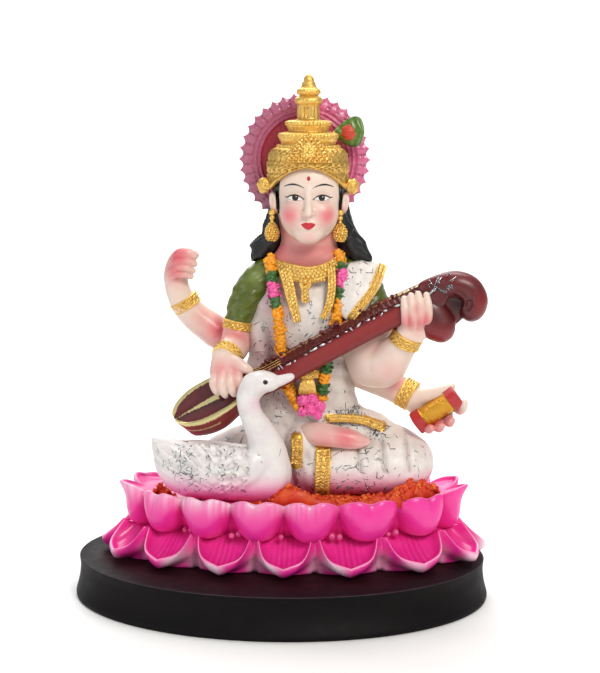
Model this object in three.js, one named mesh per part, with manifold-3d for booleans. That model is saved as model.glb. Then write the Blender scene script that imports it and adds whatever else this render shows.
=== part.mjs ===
// Saraswati seated on a double lotus with a swan and a veena, in painted cast resin.
// Millimetres, +Z up, the front toward -Y, the origin at the centre of the plinth's underside.

import * as THREE from 'three';
import Module from 'manifold-3d';
import { LoftGeometry } from 'three/addons/geometries/LoftGeometry.js';
import { mergeVertices } from 'three/addons/utils/BufferGeometryUtils.js';

const wasm = await Module();
wasm.setup();

// Driving dimensions
const figureHeight = 181.2; // from the lotus seat to the tip of the crown
const plinthHeight = 17.7;
const plinthEdgeX = 3.5; // plinth top beyond the lower petal ring, at the ends
const plinthEdgeY = 18.5; // the same at the front and back
const plinthFlareX = 1.6; // how far the foot of the plinth stands out past its top
const plinthFlareY = 3.6;
const lotusShift = 5; // the lotus sits this far to +X of the plinth's centre
const lotusHeight = 28; // from the plinth to the seat
const lowerRimRise = 6; // tips of the lower petals above the plinth
const waistRise = 15; // the waist between the two tiers above the plinth
const petalRise = 4.5; // rims of the upper petals above the seat
const seatMarginX = 19; // petal tips beyond the lap, at the ends
const seatMarginY = 11; // the same at the front
const lowerReachX = 12; // lower petal tips beyond the upper ones
const lowerReachY = 7;
const petalDepth = 10; // from the tip of a lower petal back to the valley beside it
const upperPetals = 16;
const lowerPetals = 16;
const upperTurn = 0.36; // the first petal's place, in petals from the front toward +X
const lowerTurn = -0.1;
const haloRadius = 28.7;
const haloThickness = 3.2;
const haloTeeth = 36;
const toothDepth = 2.8;
const jointGap = 0.3; // glue line between separate pieces

// Pose numbers are written where they lie at this height, and scale with the figure
const drawnHeight = 181.2;
const drawnSeat = 46;
const drawnCentre = 7;
const pose = figureHeight / drawnHeight;
const lapHalfLength = 55 * pose;
const lapHalfDepth = 25 * pose;

// Places that follow from the sizes above
const lotusFoot = plinthHeight + jointGap;
const seatTop = lotusFoot + lotusHeight;
const upperRingX = lapHalfLength + seatMarginX;
const upperRingY = lapHalfDepth + seatMarginY;
const lowerRingX = upperRingX + lowerReachX;
const lowerRingY = upperRingY + lowerReachY;
const plinthX = lowerRingX + plinthEdgeX;
const plinthY = lowerRingY + plinthEdgeY;

// A point of the figure, given where it lies at the drawn height
function at(x, y, z) {
    return new THREE.Vector3(
        drawnCentre - 5 + lotusShift + (x - drawnCentre) * pose,
        y * pose,
        seatTop + (z - drawnSeat) * pose,
    );
}

// A closed loop of points round a centre, on two half axes
function ring(centre, axisA, axisB, sides, turn = 0) {
    return Array.from({ length: sides }, (_, i) => {
        const angle = (i + turn) / sides * Math.PI * 2;
        return centre.clone()
            .addScaledVector(axisA, Math.cos(angle))
            .addScaledVector(axisB, Math.sin(angle));
    });
}

// A skin over a row of closed loops, capped at both ends
function skin(sections) {
    return new LoftGeometry(sections, { capStart: true, capEnd: true });
}

// Level oval rings on top of each other, each given as x, y, z and two half widths
function column(rows, sides) {
    return skin(rows.map(([x, y, z, halfX, halfY]) => ring(
        at(x, y, z),
        new THREE.Vector3(halfX * pose, 0, 0),
        new THREE.Vector3(0, halfY * pose, 0),
        sides,
    )));
}

const towardFront = new THREE.Vector3(0, -1, 0);

// Outlines of a section, in half widths and half thicknesses
function roundOutline(sides) {
    return Array.from({ length: sides }, (_, i) => {
        const angle = (i + 0.5) / sides * Math.PI * 2;
        return [Math.cos(angle), Math.sin(angle)];
    });
}

// Fingers side by side: a crest for each, a valley between two, and a flat back
function fingersOutline(count) {
    const valley = 0.35;
    const back = [[-0.7, -1], [0.7, -1]];
    const front = Array.from({ length: 2 * count + 1 }, (_, i) => [1 - i / count, i % 2 ? 1 : valley]);
    return [...front, ...back];
}

// Loops round a path, each station given as x, y, z, half width and half thickness.
// The width lies square to the path and to the flat direction.
function loopsAlong(rows, outline, flat) {
    const points = rows.map(([x, y, z]) => at(x, y, z));
    return points.map((point, i) => {
        const ahead = points[Math.min(i + 1, points.length - 1)];
        const behind = points[Math.max(i - 1, 0)];
        const along = ahead.clone().sub(behind).normalize();
        const side = flat.clone().cross(along).normalize();
        const over = along.clone().cross(side);
        const [, , , half, thick = half] = rows[i];
        const loop = (push, share) => outline.map(([a, b]) => point.clone()
            .addScaledVector(along, push * Math.min(half, thick) * pose)
            .addScaledVector(side, a * half * share * pose)
            .addScaledVector(over, b * thick * share * pose));
        return loop;
    });
}

// A tube with flat ends
function tube(rows, sides = 6, flat = towardFront) {
    return skin(loopsAlong(rows, roundOutline(sides), flat).map((loop) => loop(0, 1)));
}

// A limb, which starts inside another piece and ends in a rounded tip
function limb(rows, sides = 6, flat = towardFront, outline = roundOutline(sides)) {
    const roundOff = 0.62;
    const loops = loopsAlong(rows, outline, flat);
    const tip = loops[loops.length - 1](roundOff, roundOff);
    return skin([...loops.map((loop) => loop(0, 1)), tip]);
}

// A band such as a bangle or cuff, between two points of a limb
function band(from, to, radius) {
    return tube([[...from, radius], [...to, radius]], 8);
}

// A rounded lump on three half axes
function lump(x, y, z, halfX, halfY, halfZ, detail = 6) {
    const geometry = new THREE.SphereGeometry(pose, detail, detail - 2);
    geometry.rotateX(Math.PI / 2);
    geometry.scale(halfX, halfY, halfZ);
    const centre = at(x, y, z);
    return geometry.translate(centre.x, centre.y, centre.z);
}

// Booleans
function solid(geometry) {
    const bare = new THREE.BufferGeometry();
    bare.setAttribute('position', geometry.getAttribute('position'));
    bare.setIndex(geometry.getIndex());
    const merged = mergeVertices(bare, 1e-4);
    return new wasm.Manifold(new wasm.Mesh({
        numProp: 3,
        vertProperties: new Float32Array(merged.attributes.position.array),
        triVerts: new Uint32Array(merged.index.array),
    }));
}

function joined(geometries) {
    return geometries.map(solid).reduce((sum, next) => sum.add(next));
}

function toGeometry(manifold) {
    const mesh = manifold.getMesh();
    const geometry = new THREE.BufferGeometry();
    geometry.setAttribute('position', new THREE.BufferAttribute(mesh.vertProperties, 3));
    geometry.setIndex(new THREE.BufferAttribute(mesh.triVerts, 1));
    geometry.computeVertexNormals();
    return geometry;
}

// A block below the given height, wide enough to trim any piece to a flat foot
function groundBelow(height) {
    const size = 4 * plinthX;
    return new THREE.BoxGeometry(size, size, size).translate(0, 0, height - size / 2);
}

// Plinth: an oval board with a hollowed side and a spreading foot
function plinth() {
    const sides = 32;
    const profile = [
        // height and flare, as shares
        [0, 0.8],
        [0.12, 1],
        [0.4, 0.2],
        [0.75, -0.25],
        [1, 0],
    ];
    return skin(profile.map(([rise, out]) => ring(
        new THREE.Vector3(0, 0, rise * plinthHeight),
        new THREE.Vector3(plinthX + out * plinthFlareX, 0, 0),
        new THREE.Vector3(0, plinthY + out * plinthFlareY, 0),
        sides,
    )));
}

// A tier of petals as one skin round an oval. Each row gives the setback from the ring and
// the height, both at the middle of a petal and then in the valley between two petals, and
// how full the petal is between the two.
function tier(halfX, halfY, count, start, rows) {
    const steps = 4;
    const oval = new THREE.EllipseCurve(0, 0, halfX, halfY);
    oval.arcLengthDivisions = count * steps * 8;
    return skin(rows.map(({ setback, height, fullness }) => Array.from(
        { length: count * steps },
        (_, i) => {
            const share = THREE.MathUtils.euclideanModulo((i / steps + start) / count - 0.25, 1);
            const point = oval.getPointAt(share);
            const out = new THREE.Vector2(point.x / halfX ** 2, point.y / halfY ** 2).normalize();
            const toValley = (1 - Math.abs(1 - 2 * (i % steps) / steps)) ** fullness;
            point.addScaledVector(out, -THREE.MathUtils.lerp(...setback, toValley));
            const level = lotusFoot + THREE.MathUtils.lerp(...height, toValley);
            return new THREE.Vector3(lotusShift + point.x, point.y, level);
        },
    )));
}

// Drooping lower petals: a keel on the plinth, a pointed rim and a hollow top
function lowerTier() {
    return tier(lowerRingX, lowerRingY, lowerPetals, lowerTurn, [
        { setback: [5, petalDepth], height: [0, 0], fullness: 1.6 },
        { setback: [0, petalDepth], height: [lowerRimRise - 1, waistRise - 1.5], fullness: 2 },
        { setback: [6, petalDepth + 3], height: [lowerRimRise - 0.5, waistRise - 1], fullness: 2 },
        { setback: [19, 19], height: [waistRise - 1, waistRise], fullness: 2 },
    ]);
}

// Cupped upper petals, swelling from the waist to a softly waved rim round the seat
function upperTier() {
    const rim = lotusHeight + petalRise;
    const above = rim + 1;
    const petals = (rows) => solid(tier(upperRingX, upperRingY, upperPetals, upperTurn, rows));
    const cups = petals([
        { setback: [12, 12], height: [waistRise - 2, waistRise - 1], fullness: 2 },
        { setback: [2, 9], height: [waistRise + 1.5, waistRise + 3], fullness: 2 },
        { setback: [0, 6], height: [waistRise + 9, waistRise + 10], fullness: 2.4 },
        { setback: [0.8, 5.5], height: [rim, rim - 2], fullness: 3 },
        { setback: [7, 9], height: [above, above], fullness: 2 },
    ]);
    const seat = petals([
        { setback: [8, 9], height: [lotusHeight, lotusHeight], fullness: 2 },
        { setback: [2.6, 6.8], height: [above + 1, above + 1], fullness: 3 },
    ]);
    return cups.subtract(seat);
}

function lotus() {
    return solid(lowerTier()).add(upperTier());
}

// Torso, neck and head
function body() {
    return [
        column([
            [11, 7, 58, 31, 19],
            [11, 7, 70, 27, 17],
            [11.5, 7, 80, 23, 15],
            [11.5, 7, 91, 20.5, 13.5],
            [10.5, 6, 104, 18.5, 13],
            [9.5, 4.5, 117, 19, 14.5],
            [9.7, 4.5, 128, 20.5, 14.5],
            [10.2, 6, 138, 21.5, 11.5],
            [10.6, 6.5, 144, 18, 9],
            [10.6, 6, 148, 11, 8],
            [10.8, 5, 161.4, 9.5, 8.5],
        ], 12),
        column([
            [10.8, -3.5, 156.6, 4.5, 5],
            [10.9, -2, 160, 9, 9.5],
            [11, -0.3, 166, 12.6, 12],
            [11, 1, 173, 14, 13.5],
            [11, 2.5, 180, 14.8, 14.5],
            [11, 3.5, 191, 14.2, 13.5],
        ], 12),
        limb([[11, -12.2, 178, 1.1], [11, -14, 171.5, 2]], 6),
    ];
}

// Legs and skirt: the left leg with its pleats, the right leg and the hanging front folds
function legs() {
    const pleats = [
        [15, 57, 8.5, 0],
        [23, 58.5, 10.5, 0.4],
        [27.5, 58.5, 10, -1],
        [34, 59, 11.6, 0.6],
        [38.5, 59, 10.8, -1],
        [44, 59.2, 12.2, 0.8],
        [49, 59.2, 11.3, -1],
        [55, 59.2, 12, 0.4],
        [61, 59, 9.8, 0],
    ];
    return [
        limb(pleats.map(([x, z, r, swell]) => [x, -7 - (61 - x) * 0.06, z, r, r + swell]), 10),
        limb([[20, 9, 68, 14], [36, 6, 68.5, 12.5], [50, 1, 63, 12], [56, -1, 60, 10.5]], 8),
        limb([[2, 10, 67, 14], [-14, 7, 63.5, 11.5], [-26, 5, 60, 10]], 8),
        limb([[-28, 3.5, 55, 9], [-12, 2, 53, 9], [4, -1.5, 53, 8.5]], 8),
        limb([[12, 12, 56, 18], [12, 12, 64, 18]], 12),
        column([
            [17, -5, 44, 15, 7],
            [17, -7, 54, 15, 9],
            [16, -6.5, 64, 14, 9],
            [15, -4, 72, 11, 7],
        ], 12),
        limb([[10, -12, 75, 4.6, 4.4], [18, -14, 74.5, 5, 4.8], [27, -15, 74, 4.8, 4.2],
            [34.5, -15, 73, 3, 2.6]], 8),
    ];
}

// A row of fingers that stay side by side
function fingers(rows, flat = towardFront, count = 4) {
    return limb(rows, 0, flat, fingersOutline(count));
}

// The right arm in front: sleeve, forearm toward the front, hand on the soundboard
function rightFrontArm() {
    return [
        limb([[-5, 6, 138, 8], [-11, 4, 134, 7.6], [-18, 1.5, 123, 6.4], [-20, 0, 117, 5.8]], 8),
        band([-18.6, 1, 121.8], [-19.4, 0.4, 119.6], 7),
        limb([[-20, 0, 117, 5.6], [-20.5, -3, 111, 6], [-22, -10, 109.5, 5.6], [-24, -14, 107.8, 5]], 8),
        band([-22.8, -12, 109.2], [-23.8, -14.2, 107.8], 6.1),
        limb([[-24, -14.5, 107.5, 6, 4.6], [-23.2, -18, 102.5, 7.4, 4.2], [-22.6, -19, 99.5, 7, 3.4]], 8),
        fingers([[-22.8, -19.6, 101.5, 7.2, 2.4], [-22.4, -21.4, 98, 6.8, 2.2],
            [-22, -20.6, 94.8, 5.4, 1.8]]),
        limb([[-20, -18.5, 107, 3], [-16.5, -20, 105.2, 2.7], [-13.6, -20, 103.8, 2.2]]),
    ];
}

// The right arm behind, raised, with its fingers held level one over the other
function rightRearArm() {
    return [
        limb([[-3, 9, 137, 8], [-14, 12, 123, 8], [-25, 13, 112, 7.6], [-34.5, 12.5, 118, 6.7],
            [-41, 11.5, 123.5, 6], [-45, 10.8, 129, 5.4], [-46.8, 10, 134, 4.8]], 8),
        band([-42.6, 11.2, 126.2], [-44.4, 10.9, 129.2], 6.6),
        limb([[-47, 9.6, 135, 5, 3.8], [-47, 9, 141, 5.4, 3.8], [-45.4, 8.4, 147, 4.6, 3.4],
            [-43.4, 7.8, 150.4, 3, 2.6]], 8),
        fingers([[-48, 7, 143.6, 4.6, 2.6], [-43.6, 4.6, 145.6, 6.6, 2.4], [-39.6, 4.4, 145.8, 5.8, 2]]),
    ];
}

// The left arm in front, bent up, with four fingers over the neck of the veena
function leftFrontArm() {
    return [
        limb([[29, 7, 138, 8.4], [35, 5, 132, 9.4], [39.5, 1, 118, 9], [41.5, -3, 105, 9.2]], 8),
        limb([[41.5, -3.5, 103.5, 9.4], [46.5, -7, 107, 8.4], [50.5, -10.5, 112.5, 6.6],
            [53.4, -13, 117.5, 5.6]], 8),
        band([51.6, -11.6, 114], [53, -12.8, 116.6], 7.2),
        limb([[54.2, -13.4, 118, 5.8, 4.8], [56.4, -15, 123.5, 6.6, 4.2], [57, -16, 127, 6.6, 3.4]], 8),
        fingers([[56.4, -17, 122, 6.6, 2.6], [57, -20.4, 130, 6.7, 2.4], [57.2, -19.6, 136, 5.6, 2]]),
        limb([[51, -12, 119.5, 2.5], [48.6, -10.6, 122, 2.2]]),
    ];
}

// The left arm behind, reaching out with the palm up under the book
function leftRearArm() {
    const underBook = new THREE.Vector3(0.35, -0.4, -1).normalize();
    return [
        limb([[27, 10, 136, 8.4], [29.6, 12, 118.4, 8], [31.5, 11, 102, 8], [37, 9.5, 97.5, 7.6],
            [46, 6.5, 93.4, 6.6], [53, 3.6, 90, 5.9], [57.6, 2, 88, 5.4]], 8),
        band([53.6, 3.4, 89.9], [56.2, 2.5, 88.7], 6.8),
        limb([[58, 1.4, 87, 5.4, 4], [63.5, 0.6, 84, 7.6, 3], [69.5, 0, 83.5, 7, 2.8]], 8),
        fingers([[68.6, 0, 82, 7, 2.4], [71.6, -7, 80.2, 6.6, 2.2], [71.4, -11, 82.4, 5.4, 1.8]],
            underBook),
        limb([[60.5, 1, 90, 2.6], [65, -1, 92.6, 2.4], [71, -2, 93.2, 2]]),
    ];
}

// The closed book, a block with capped ends lying across the left palm
function book() {
    const length = 22.4 * pose;
    const side = 8.6 * pose;
    const slope = THREE.MathUtils.degToRad(-37);
    const corner = new THREE.Shape();
    const half = side / 2;
    const chamfer = side * 0.16;
    corner.moveTo(-half + chamfer, -half);
    corner.lineTo(half - chamfer, -half);
    corner.lineTo(half, -half + chamfer);
    corner.lineTo(half, half - chamfer);
    corner.lineTo(half - chamfer, half);
    corner.lineTo(-half + chamfer, half);
    corner.lineTo(-half, half - chamfer);
    corner.lineTo(-half, -half + chamfer);
    const block = new THREE.ExtrudeGeometry(corner, { depth: length, bevelEnabled: false });
    block.translate(0, 0, -length / 2);
    block.rotateZ(Math.PI / 9);
    block.rotateY(Math.PI / 2);
    block.rotateY(slope);
    const centre = at(66.8, -6.2, 84.8);
    return block.translate(centre.x, centre.y, centre.z);
}

// The crown: a dome whose edge rises over the forehead, two rings, a drum and a finial
function crown() {
    const axisX = 10.4;
    const axisY = 2.6;
    const sides = 12;
    const profile = [
        [189, 16.4],
        [191, 17.3],
        [196.6, 13],
        [200, 13],
        [202.6, 9.6],
        [206, 9],
        [208.2, 5],
        [213.8, 4.8],
        [214.6, 6],
        [217, 5.8],
        [218.4, 4.5],
        [221.6, 3.6],
        [225, 2.6],
        [227.2, 0.9],
    ];
    const edgeDrop = 10.5;
    const dome = skin(profile.map(([z, radius], row) => ring(
        at(axisX, axisY, z),
        new THREE.Vector3(radius * pose, 0, 0),
        new THREE.Vector3(0, radius * 0.92 * pose, 0),
        sides,
    ).map((point, i) => {
        const faceOn = Math.max(0, -Math.sin(i / sides * Math.PI * 2));
        const drop = row === 0 ? edgeDrop * pose * (1 - faceOn ** 2) : 0;
        return point.setZ(point.z - drop);
    })));
    const plaque = new THREE.ConeGeometry(9 * pose, 11 * pose, 4, 1);
    plaque.rotateX(Math.PI / 2);
    plaque.scale(1, 0.3, 1);
    const front = at(axisX + 0.4, axisY - 13.2, 196.6);
    plaque.translate(front.x, front.y, front.z);
    return [
        dome,
        plaque,
        lump(-8.6, 1, 179.8, 3.8, 3, 4.6),
        lump(29.6, 1, 179.4, 3.8, 3, 4.6),
    ];
}

// Hair at both sides and down the back, ears with drops, and the feather on the crown
function hairAndEars() {
    const back = new THREE.Vector3(0, 1, 0);
    return [
        limb([[-5.2, 5, 178, 3.6, 5], [-6.4, 7, 168, 4.6, 6], [-8.6, 9, 158, 5, 6], [-11.6, 10, 150, 3.8, 4.4],
            [-13.4, 9.5, 146.5, 2.2, 2.6]], 8),
        limb([[26.4, 5, 178, 3.6, 5], [27.6, 7, 168, 4.4, 6], [29.4, 9, 159, 5, 6], [32, 10, 152, 3.8, 4.4],
            [35, 9.5, 148, 2.2, 2.6]], 8),
        limb([[11, 8, 176, 16, 7], [11, 13, 164, 17, 7], [11, 16, 150, 18, 6.4], [11, 17, 132, 16, 5],
            [11, 17, 116, 11, 4]], 10, back),
        lump(-5, 0, 173, 2, 2.6, 4.8),
        lump(27, 0, 173, 2, 2.6, 4.8),
        limb([[-5, 0, 169, 1.3], [-6.4, -0.4, 161, 3.2], [-6.4, -0.4, 157.2, 2.2]], 6),
        limb([[27, 0, 169, 1.3], [26.4, -0.4, 162, 3.2], [26.4, -0.4, 158.2, 2.2]], 6),
        limb([[20, 7, 200, 1.6, 1.6], [25, 9, 202, 5, 2], [29.6, 9.6, 203.4, 6.4, 2], [33.6, 9.6, 204, 4, 1.6]], 8),
    ];
}

// Cloth over the left shoulder, and the garland that hangs from neck to lap
function drapeAndGarland() {
    const slope = new THREE.Vector3(0.2, -1, 0.3).normalize();
    const frontSlope = new THREE.Vector3(0.15, -0.8, 0.6).normalize();
    const backSlope = new THREE.Vector3(0, 0.6, 0.8);
    return [
        limb([[31, -9.5, 126, 6, 2.6], [32.6, -7.5, 134, 8, 3], [33.6, -1, 142.4, 8.6, 3],
            [33, 7, 144, 8.4, 3]], 8, frontSlope),
        limb([[33.2, 1, 143.2, 7.8, 2.6], [32.8, 8, 143.4, 8.2, 3], [31, 14.6, 138, 8, 3],
            [27, 18, 122, 8, 2.6]], 8, backSlope),
        limb([[-6, 2, 146.5, 2.8], [-4, -3.4, 138, 3], [-1.4, -8.2, 126, 3], [0.6, -8.8, 114, 2.6],
            [2.6, -6.6, 100, 2.6], [6, -6.8, 88.5, 3.4], [11.6, -8.6, 83.6, 5, 3.6]], 6, slope),
        limb([[25.2, 3, 147.5, 2.6], [26, -2.6, 138, 2.8], [24.4, -6.4, 126, 2.6], [21.4, -7.6, 112, 2.4],
            [19.6, -6, 98, 2.6], [17.6, -7, 89, 3], [12.8, -8.6, 83.8, 4, 3.6]], 6, slope),
    ];
}

// Direction and slope of the veena's soundboard, from its tail to the scroll
const boardStart = [-35, -14.2, 87.6];
const boardEnd = [33.4, -15.6, 126];

// The veena: D-shaped sections with the flat board up and toward the front, then the scroll
function veena(grow = 0) {
    const start = at(...boardStart);
    const end = at(...boardEnd);
    const along = end.clone().sub(start).normalize();
    const front = new THREE.Vector3(0, -1, 0);
    const over = front.clone().cross(along).normalize();
    const length = end.distanceTo(start);
    const rows = [
        [-0.165, 3, 3, 31],
        [-0.15, 7, 6.5, 31],
        [-0.1, 12.6, 10, 31],
        [-0.01, 16.6, 12, 31],
        [0.12, 17, 11.5, 32],
        [0.24, 14.6, 11.2, 36],
        [0.35, 11.4, 13.4, 42],
        [0.5, 9.6, 14.6, 45],
        [1, 9.8, 14.6, 45],
        [1.4, 10, 12, 42],
    ];
    const bodySections = rows.map(([share, width, depth, tilt]) => {
        const angle = THREE.MathUtils.degToRad(tilt);
        const normal = front.clone().multiplyScalar(Math.cos(angle)).addScaledVector(over, Math.sin(angle));
        const across = over.clone().multiplyScalar(Math.cos(angle)).addScaledVector(front, -Math.sin(angle));
        const half = width / 2 * pose + grow;
        const deep = depth * pose + grow;
        const sag = 15 * pose * Math.max(0, share - 1) ** 2;
        const centre = start.clone().addScaledVector(along, share * length).addScaledVector(over, -sag);
        const outline = [
            [-1, -grow / deep],
            [-1, 0.34],
            [-0.75, 0.76],
            [-0.25, 1],
            [0.25, 1],
            [0.75, 0.76],
            [1, 0.34],
            [1, -grow / deep],
        ];
        return outline.map(([side, down]) => centre.clone()
            .addScaledVector(across, side * half)
            .addScaledVector(normal, -down * deep));
    });
    return joined([skin(bodySections), scroll(grow)]);
}

// The carved head of the veena: a hooked scroll above a rounded lobe
function scroll(grow) {
    const sheet = ([x, z]) => new THREE.Vector2((x - drawnCentre) * pose, (z - drawnSeat) * pose);
    const shape = new THREE.Shape();
    const start = sheet([54, 133]);
    shape.moveTo(start.x, start.y);
    const arcs = [
        [[60, 122], [58.5, 118.4], [61, 116]],
        [[66, 112], [73.5, 117.5], [76.2, 127.2]],
        [[77, 125.4], [84.6, 122.4], [87, 128]],
        [[90, 136], [82, 144.4], [75, 145.4]],
        [[67, 147.4], [62, 143.4], [55, 140.4]],
    ];
    for (const [first, second, stop] of arcs) {
        const [p, q, r] = [sheet(first), sheet(second), sheet(stop)];
        shape.bezierCurveTo(p.x, p.y, q.x, q.y, r.x, r.y);
    }
    const thickness = 8.4 * pose;
    const bevel = 1.8 * pose;
    const block = new THREE.ExtrudeGeometry(shape, {
        depth: thickness - 2 * bevel + 2 * grow,
        bevelThickness: bevel,
        bevelSize: bevel + grow,
        bevelOffset: -bevel,
        bevelSegments: 1,
        curveSegments: 5,
    });
    block.translate(0, 0, bevel - thickness / 2 - grow);
    block.rotateX(Math.PI / 2);
    const origin = at(drawnCentre, -14.5, drawnSeat);
    return block.translate(origin.x, origin.y, origin.z);
}

// The swan beside the right knee, tail out to the side and neck raised
function swan() {
    const up = new THREE.Vector3(0, 0, 1);
    return joined([
        limb([[-54.6, -16, 73.6, 0.9, 1.2], [-48, -16.6, 68.4, 3.8, 6], [-40, -17, 62.6, 8, 10.6],
            [-30, -17.4, 60.4, 9.8, 12.6], [-18, -18, 59.4, 10, 12.4], [-8, -18.6, 58.6, 9.4, 12.6],
            [-1.6, -19, 59.6, 8, 10.4]], 12, up),
        limb([[-3.6, -19.6, 62, 9, 7.6], [-4.6, -20.8, 70, 8, 6.6], [-7.8, -22.6, 77.6, 6.6, 5.4],
            [-11.6, -25, 84.4, 5, 4.8], [-13.2, -26.8, 91.4, 4.7, 4.6], [-10.6, -27.6, 97.6, 5, 4.8]], 8),
        limb([[-11, -27.6, 97, 5, 4.6], [-7.2, -27.8, 99.4, 5, 4.6], [-3, -27.8, 99.2, 3.6, 3.4],
            [1.4, -27.8, 99.4, 1.7, 2], [4.8, -27.8, 100.4, 1.1, 1.6]], 8, up),
    ]).subtract(solid(groundBelow(seatTop + jointGap)));
}

// The halo: a disc with a saw-toothed edge, a raised rim band and a boss for the head
function halo(grow = 0, backReach = 0) {
    const centre = at(8.5, 15.4, 192.4);
    const outer = haloRadius * pose;
    const root = outer - toothDepth * pose;
    const edge = Array.from({ length: haloTeeth * 2 }, (_, i) => {
        const radius = (i % 2 ? root : outer) + grow;
        const angle = i / haloTeeth * Math.PI;
        return new THREE.Vector2(radius * Math.cos(angle), radius * Math.sin(angle));
    });
    const rim = new THREE.Shape(grow > 0
        ? edge.map((point) => point.setLength(outer + grow))
        : edge);
    const plate = new THREE.ExtrudeGeometry(rim, {
        depth: haloThickness + grow + backReach,
        bevelEnabled: false,
    });
    plate.rotateX(-Math.PI / 2);
    return solid(plate.translate(centre.x, centre.y - grow, centre.z));
}

// The goddess in one casting, cut clear of the seat, the veena and the halo
function goddess() {
    const behindHalo = 30;
    return joined([
        ...body(),
        ...legs(),
        ...rightFrontArm(),
        ...rightRearArm(),
        ...leftFrontArm(),
        ...leftRearArm(),
        book(),
        ...crown(),
        ...hairAndEars(),
        ...drapeAndGarland(),
    ])
        .subtract(solid(groundBelow(seatTop + jointGap)))
        .subtract(veena(jointGap))
        .subtract(halo(jointGap, behindHalo));
}

// Finishes
function mesh(name, geometry, color, roughness, metalness = 0) {
    const material = new THREE.MeshStandardMaterial({ color, roughness, metalness });
    const piece = new THREE.Mesh(geometry, material);
    piece.name = name;
    return piece;
}

const saraswati = new THREE.Group();
saraswati.add(
    mesh('plinth', plinth(), 0x1d1416, 0.38),
    mesh('lotus', toGeometry(lotus()), 0xf0359b, 0.45),
    mesh('figure', toGeometry(goddess()), 0xe9dfd6, 0.5),
    mesh('swan', toGeometry(swan()), 0xf1ecea, 0.42),
    mesh('veena', toGeometry(veena()), 0x7a1f25, 0.4),
    mesh('halo', toGeometry(halo()), 0xd9508a, 0.35),
);

export default saraswati;
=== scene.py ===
import math

import bpy
import numpy as np
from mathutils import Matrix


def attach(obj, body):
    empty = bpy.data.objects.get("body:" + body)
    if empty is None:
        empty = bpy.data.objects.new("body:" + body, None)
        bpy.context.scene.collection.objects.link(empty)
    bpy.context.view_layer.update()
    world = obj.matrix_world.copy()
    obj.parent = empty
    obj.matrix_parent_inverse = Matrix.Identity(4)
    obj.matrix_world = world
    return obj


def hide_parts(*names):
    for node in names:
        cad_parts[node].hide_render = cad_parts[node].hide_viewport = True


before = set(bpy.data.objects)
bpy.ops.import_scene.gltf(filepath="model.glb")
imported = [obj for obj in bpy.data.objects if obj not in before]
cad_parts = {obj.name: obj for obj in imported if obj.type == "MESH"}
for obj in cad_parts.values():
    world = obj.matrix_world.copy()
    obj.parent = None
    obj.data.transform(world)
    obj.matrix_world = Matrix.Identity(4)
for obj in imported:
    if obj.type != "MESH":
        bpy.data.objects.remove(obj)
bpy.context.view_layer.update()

import openvdb
from mathutils import Euler, Matrix, Vector

# Saraswati seated on a double lotus with a swan and a veena, in painted cast resin.
# Shapes are worked out in millimetres in the part's frame, +Z up and the front toward -Y,
# and become metres when a mesh is made.

MM = 0.001
FAR = 4.0  # distances further out than this are not kept
TINY = 1e-6
FRONT = (0, -1, 0)
UP = (0, 0, 1)
seeded = np.random.default_rng(11)


# Curves and small sums

def smooth_rows(rows, parts=5):
    """More rows on a smooth curve through the given ones, every column alike."""
    rows = np.array(rows, float)
    padded = np.vstack([2 * rows[0] - rows[1], rows, 2 * rows[-1] - rows[-2]])
    t = np.linspace(0, 1, parts, endpoint=False)[:, None]
    spans = []
    for before, start, end, after in zip(padded, padded[1:], padded[2:], padded[3:]):
        bend = 2 * before - 5 * start + 4 * end - after
        twist = 3 * start - before - 3 * end + after
        spans.append(start + 0.5 * ((end - before) * t + bend * t ** 2 + twist * t ** 3))
    return np.vstack(spans + [rows[-1:]])


def unit(vector):
    vector = np.array(vector, float)
    return vector / np.linalg.norm(vector)


def turns(sides):
    """The angles of a full turn in even steps."""
    return np.arange(sides) / sides * math.tau


def lengths(line):
    """How far along a line each of its points is."""
    return np.concatenate([[0], np.cumsum(np.linalg.norm(np.diff(line, axis=0), axis=1))])


def turning(degrees):
    """The matrix that turns rows of points by three angles."""
    return np.array(Euler([math.radians(angle) for angle in degrees]).to_matrix()).T


def stations(rows):
    """Rows of x, y, z, half width and half thickness, which is the half width if left out."""
    return [list(row) + [row[3]] * (5 - len(row)) for row in rows]


def ramp(value, low, high):
    """0 at low, 1 at high and softly curved between."""
    t = np.clip((value - low) / (high - low), 0, 1)
    return t * t * (3 - 2 * t)


def hump(value, width):
    """1 at zero, falling away softly on both sides."""
    return np.exp(-(value / width) ** 2)


def merge(a, b, blend):
    """The nearer of two distances, with a soft fillet where they are alike."""
    if blend <= 0:
        return np.minimum(a, b)
    share = np.clip(0.5 + 0.5 * (b - a) / blend, 0, 1)
    return b + (a - b) * share - blend * share * (1 - share)


def spots(points, places):
    """How near each point is to the listed places, given as x, y, z, reach and strength."""
    found = np.zeros(len(points))
    for *centre, reach, strength in places:
        apart = ((points - centre) ** 2).sum(1)
        found = np.maximum(found, strength * np.exp(-apart / reach ** 2))
    return found


def from_line(points, line, axes=(0, 2)):
    """Distance of points from a broken line, seen flat along two axes."""
    flat = points[:, axes]
    line = np.array(line, float)
    nearest = np.full(len(points), 1e3)
    for start, end in zip(line, line[1:]):
        span = end - start
        t = np.clip(((flat - start) @ span) / (span @ span), 0, 1)
        nearest = np.minimum(nearest, np.linalg.norm(flat - start - t[:, None] * span, axis=1))
    return nearest


def even(line, count):
    """Evenly spaced points on a broken line."""
    line = np.array(line, float)
    travel = lengths(line)
    wanted = np.linspace(0, travel[-1], count)
    return np.stack([np.interp(wanted, travel, values) for values in line.T], 1)


def threads(around, level, pitch=2.0):
    """The restless short ridges of crumpled foil, from -1 to 1."""
    across = np.sin(level * 9 / pitch + 2.4 * np.sin(around * 2.6 / pitch))
    return across * np.sin(around * 5.2 / pitch + 2 * np.sin(level * 4 / pitch))


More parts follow.
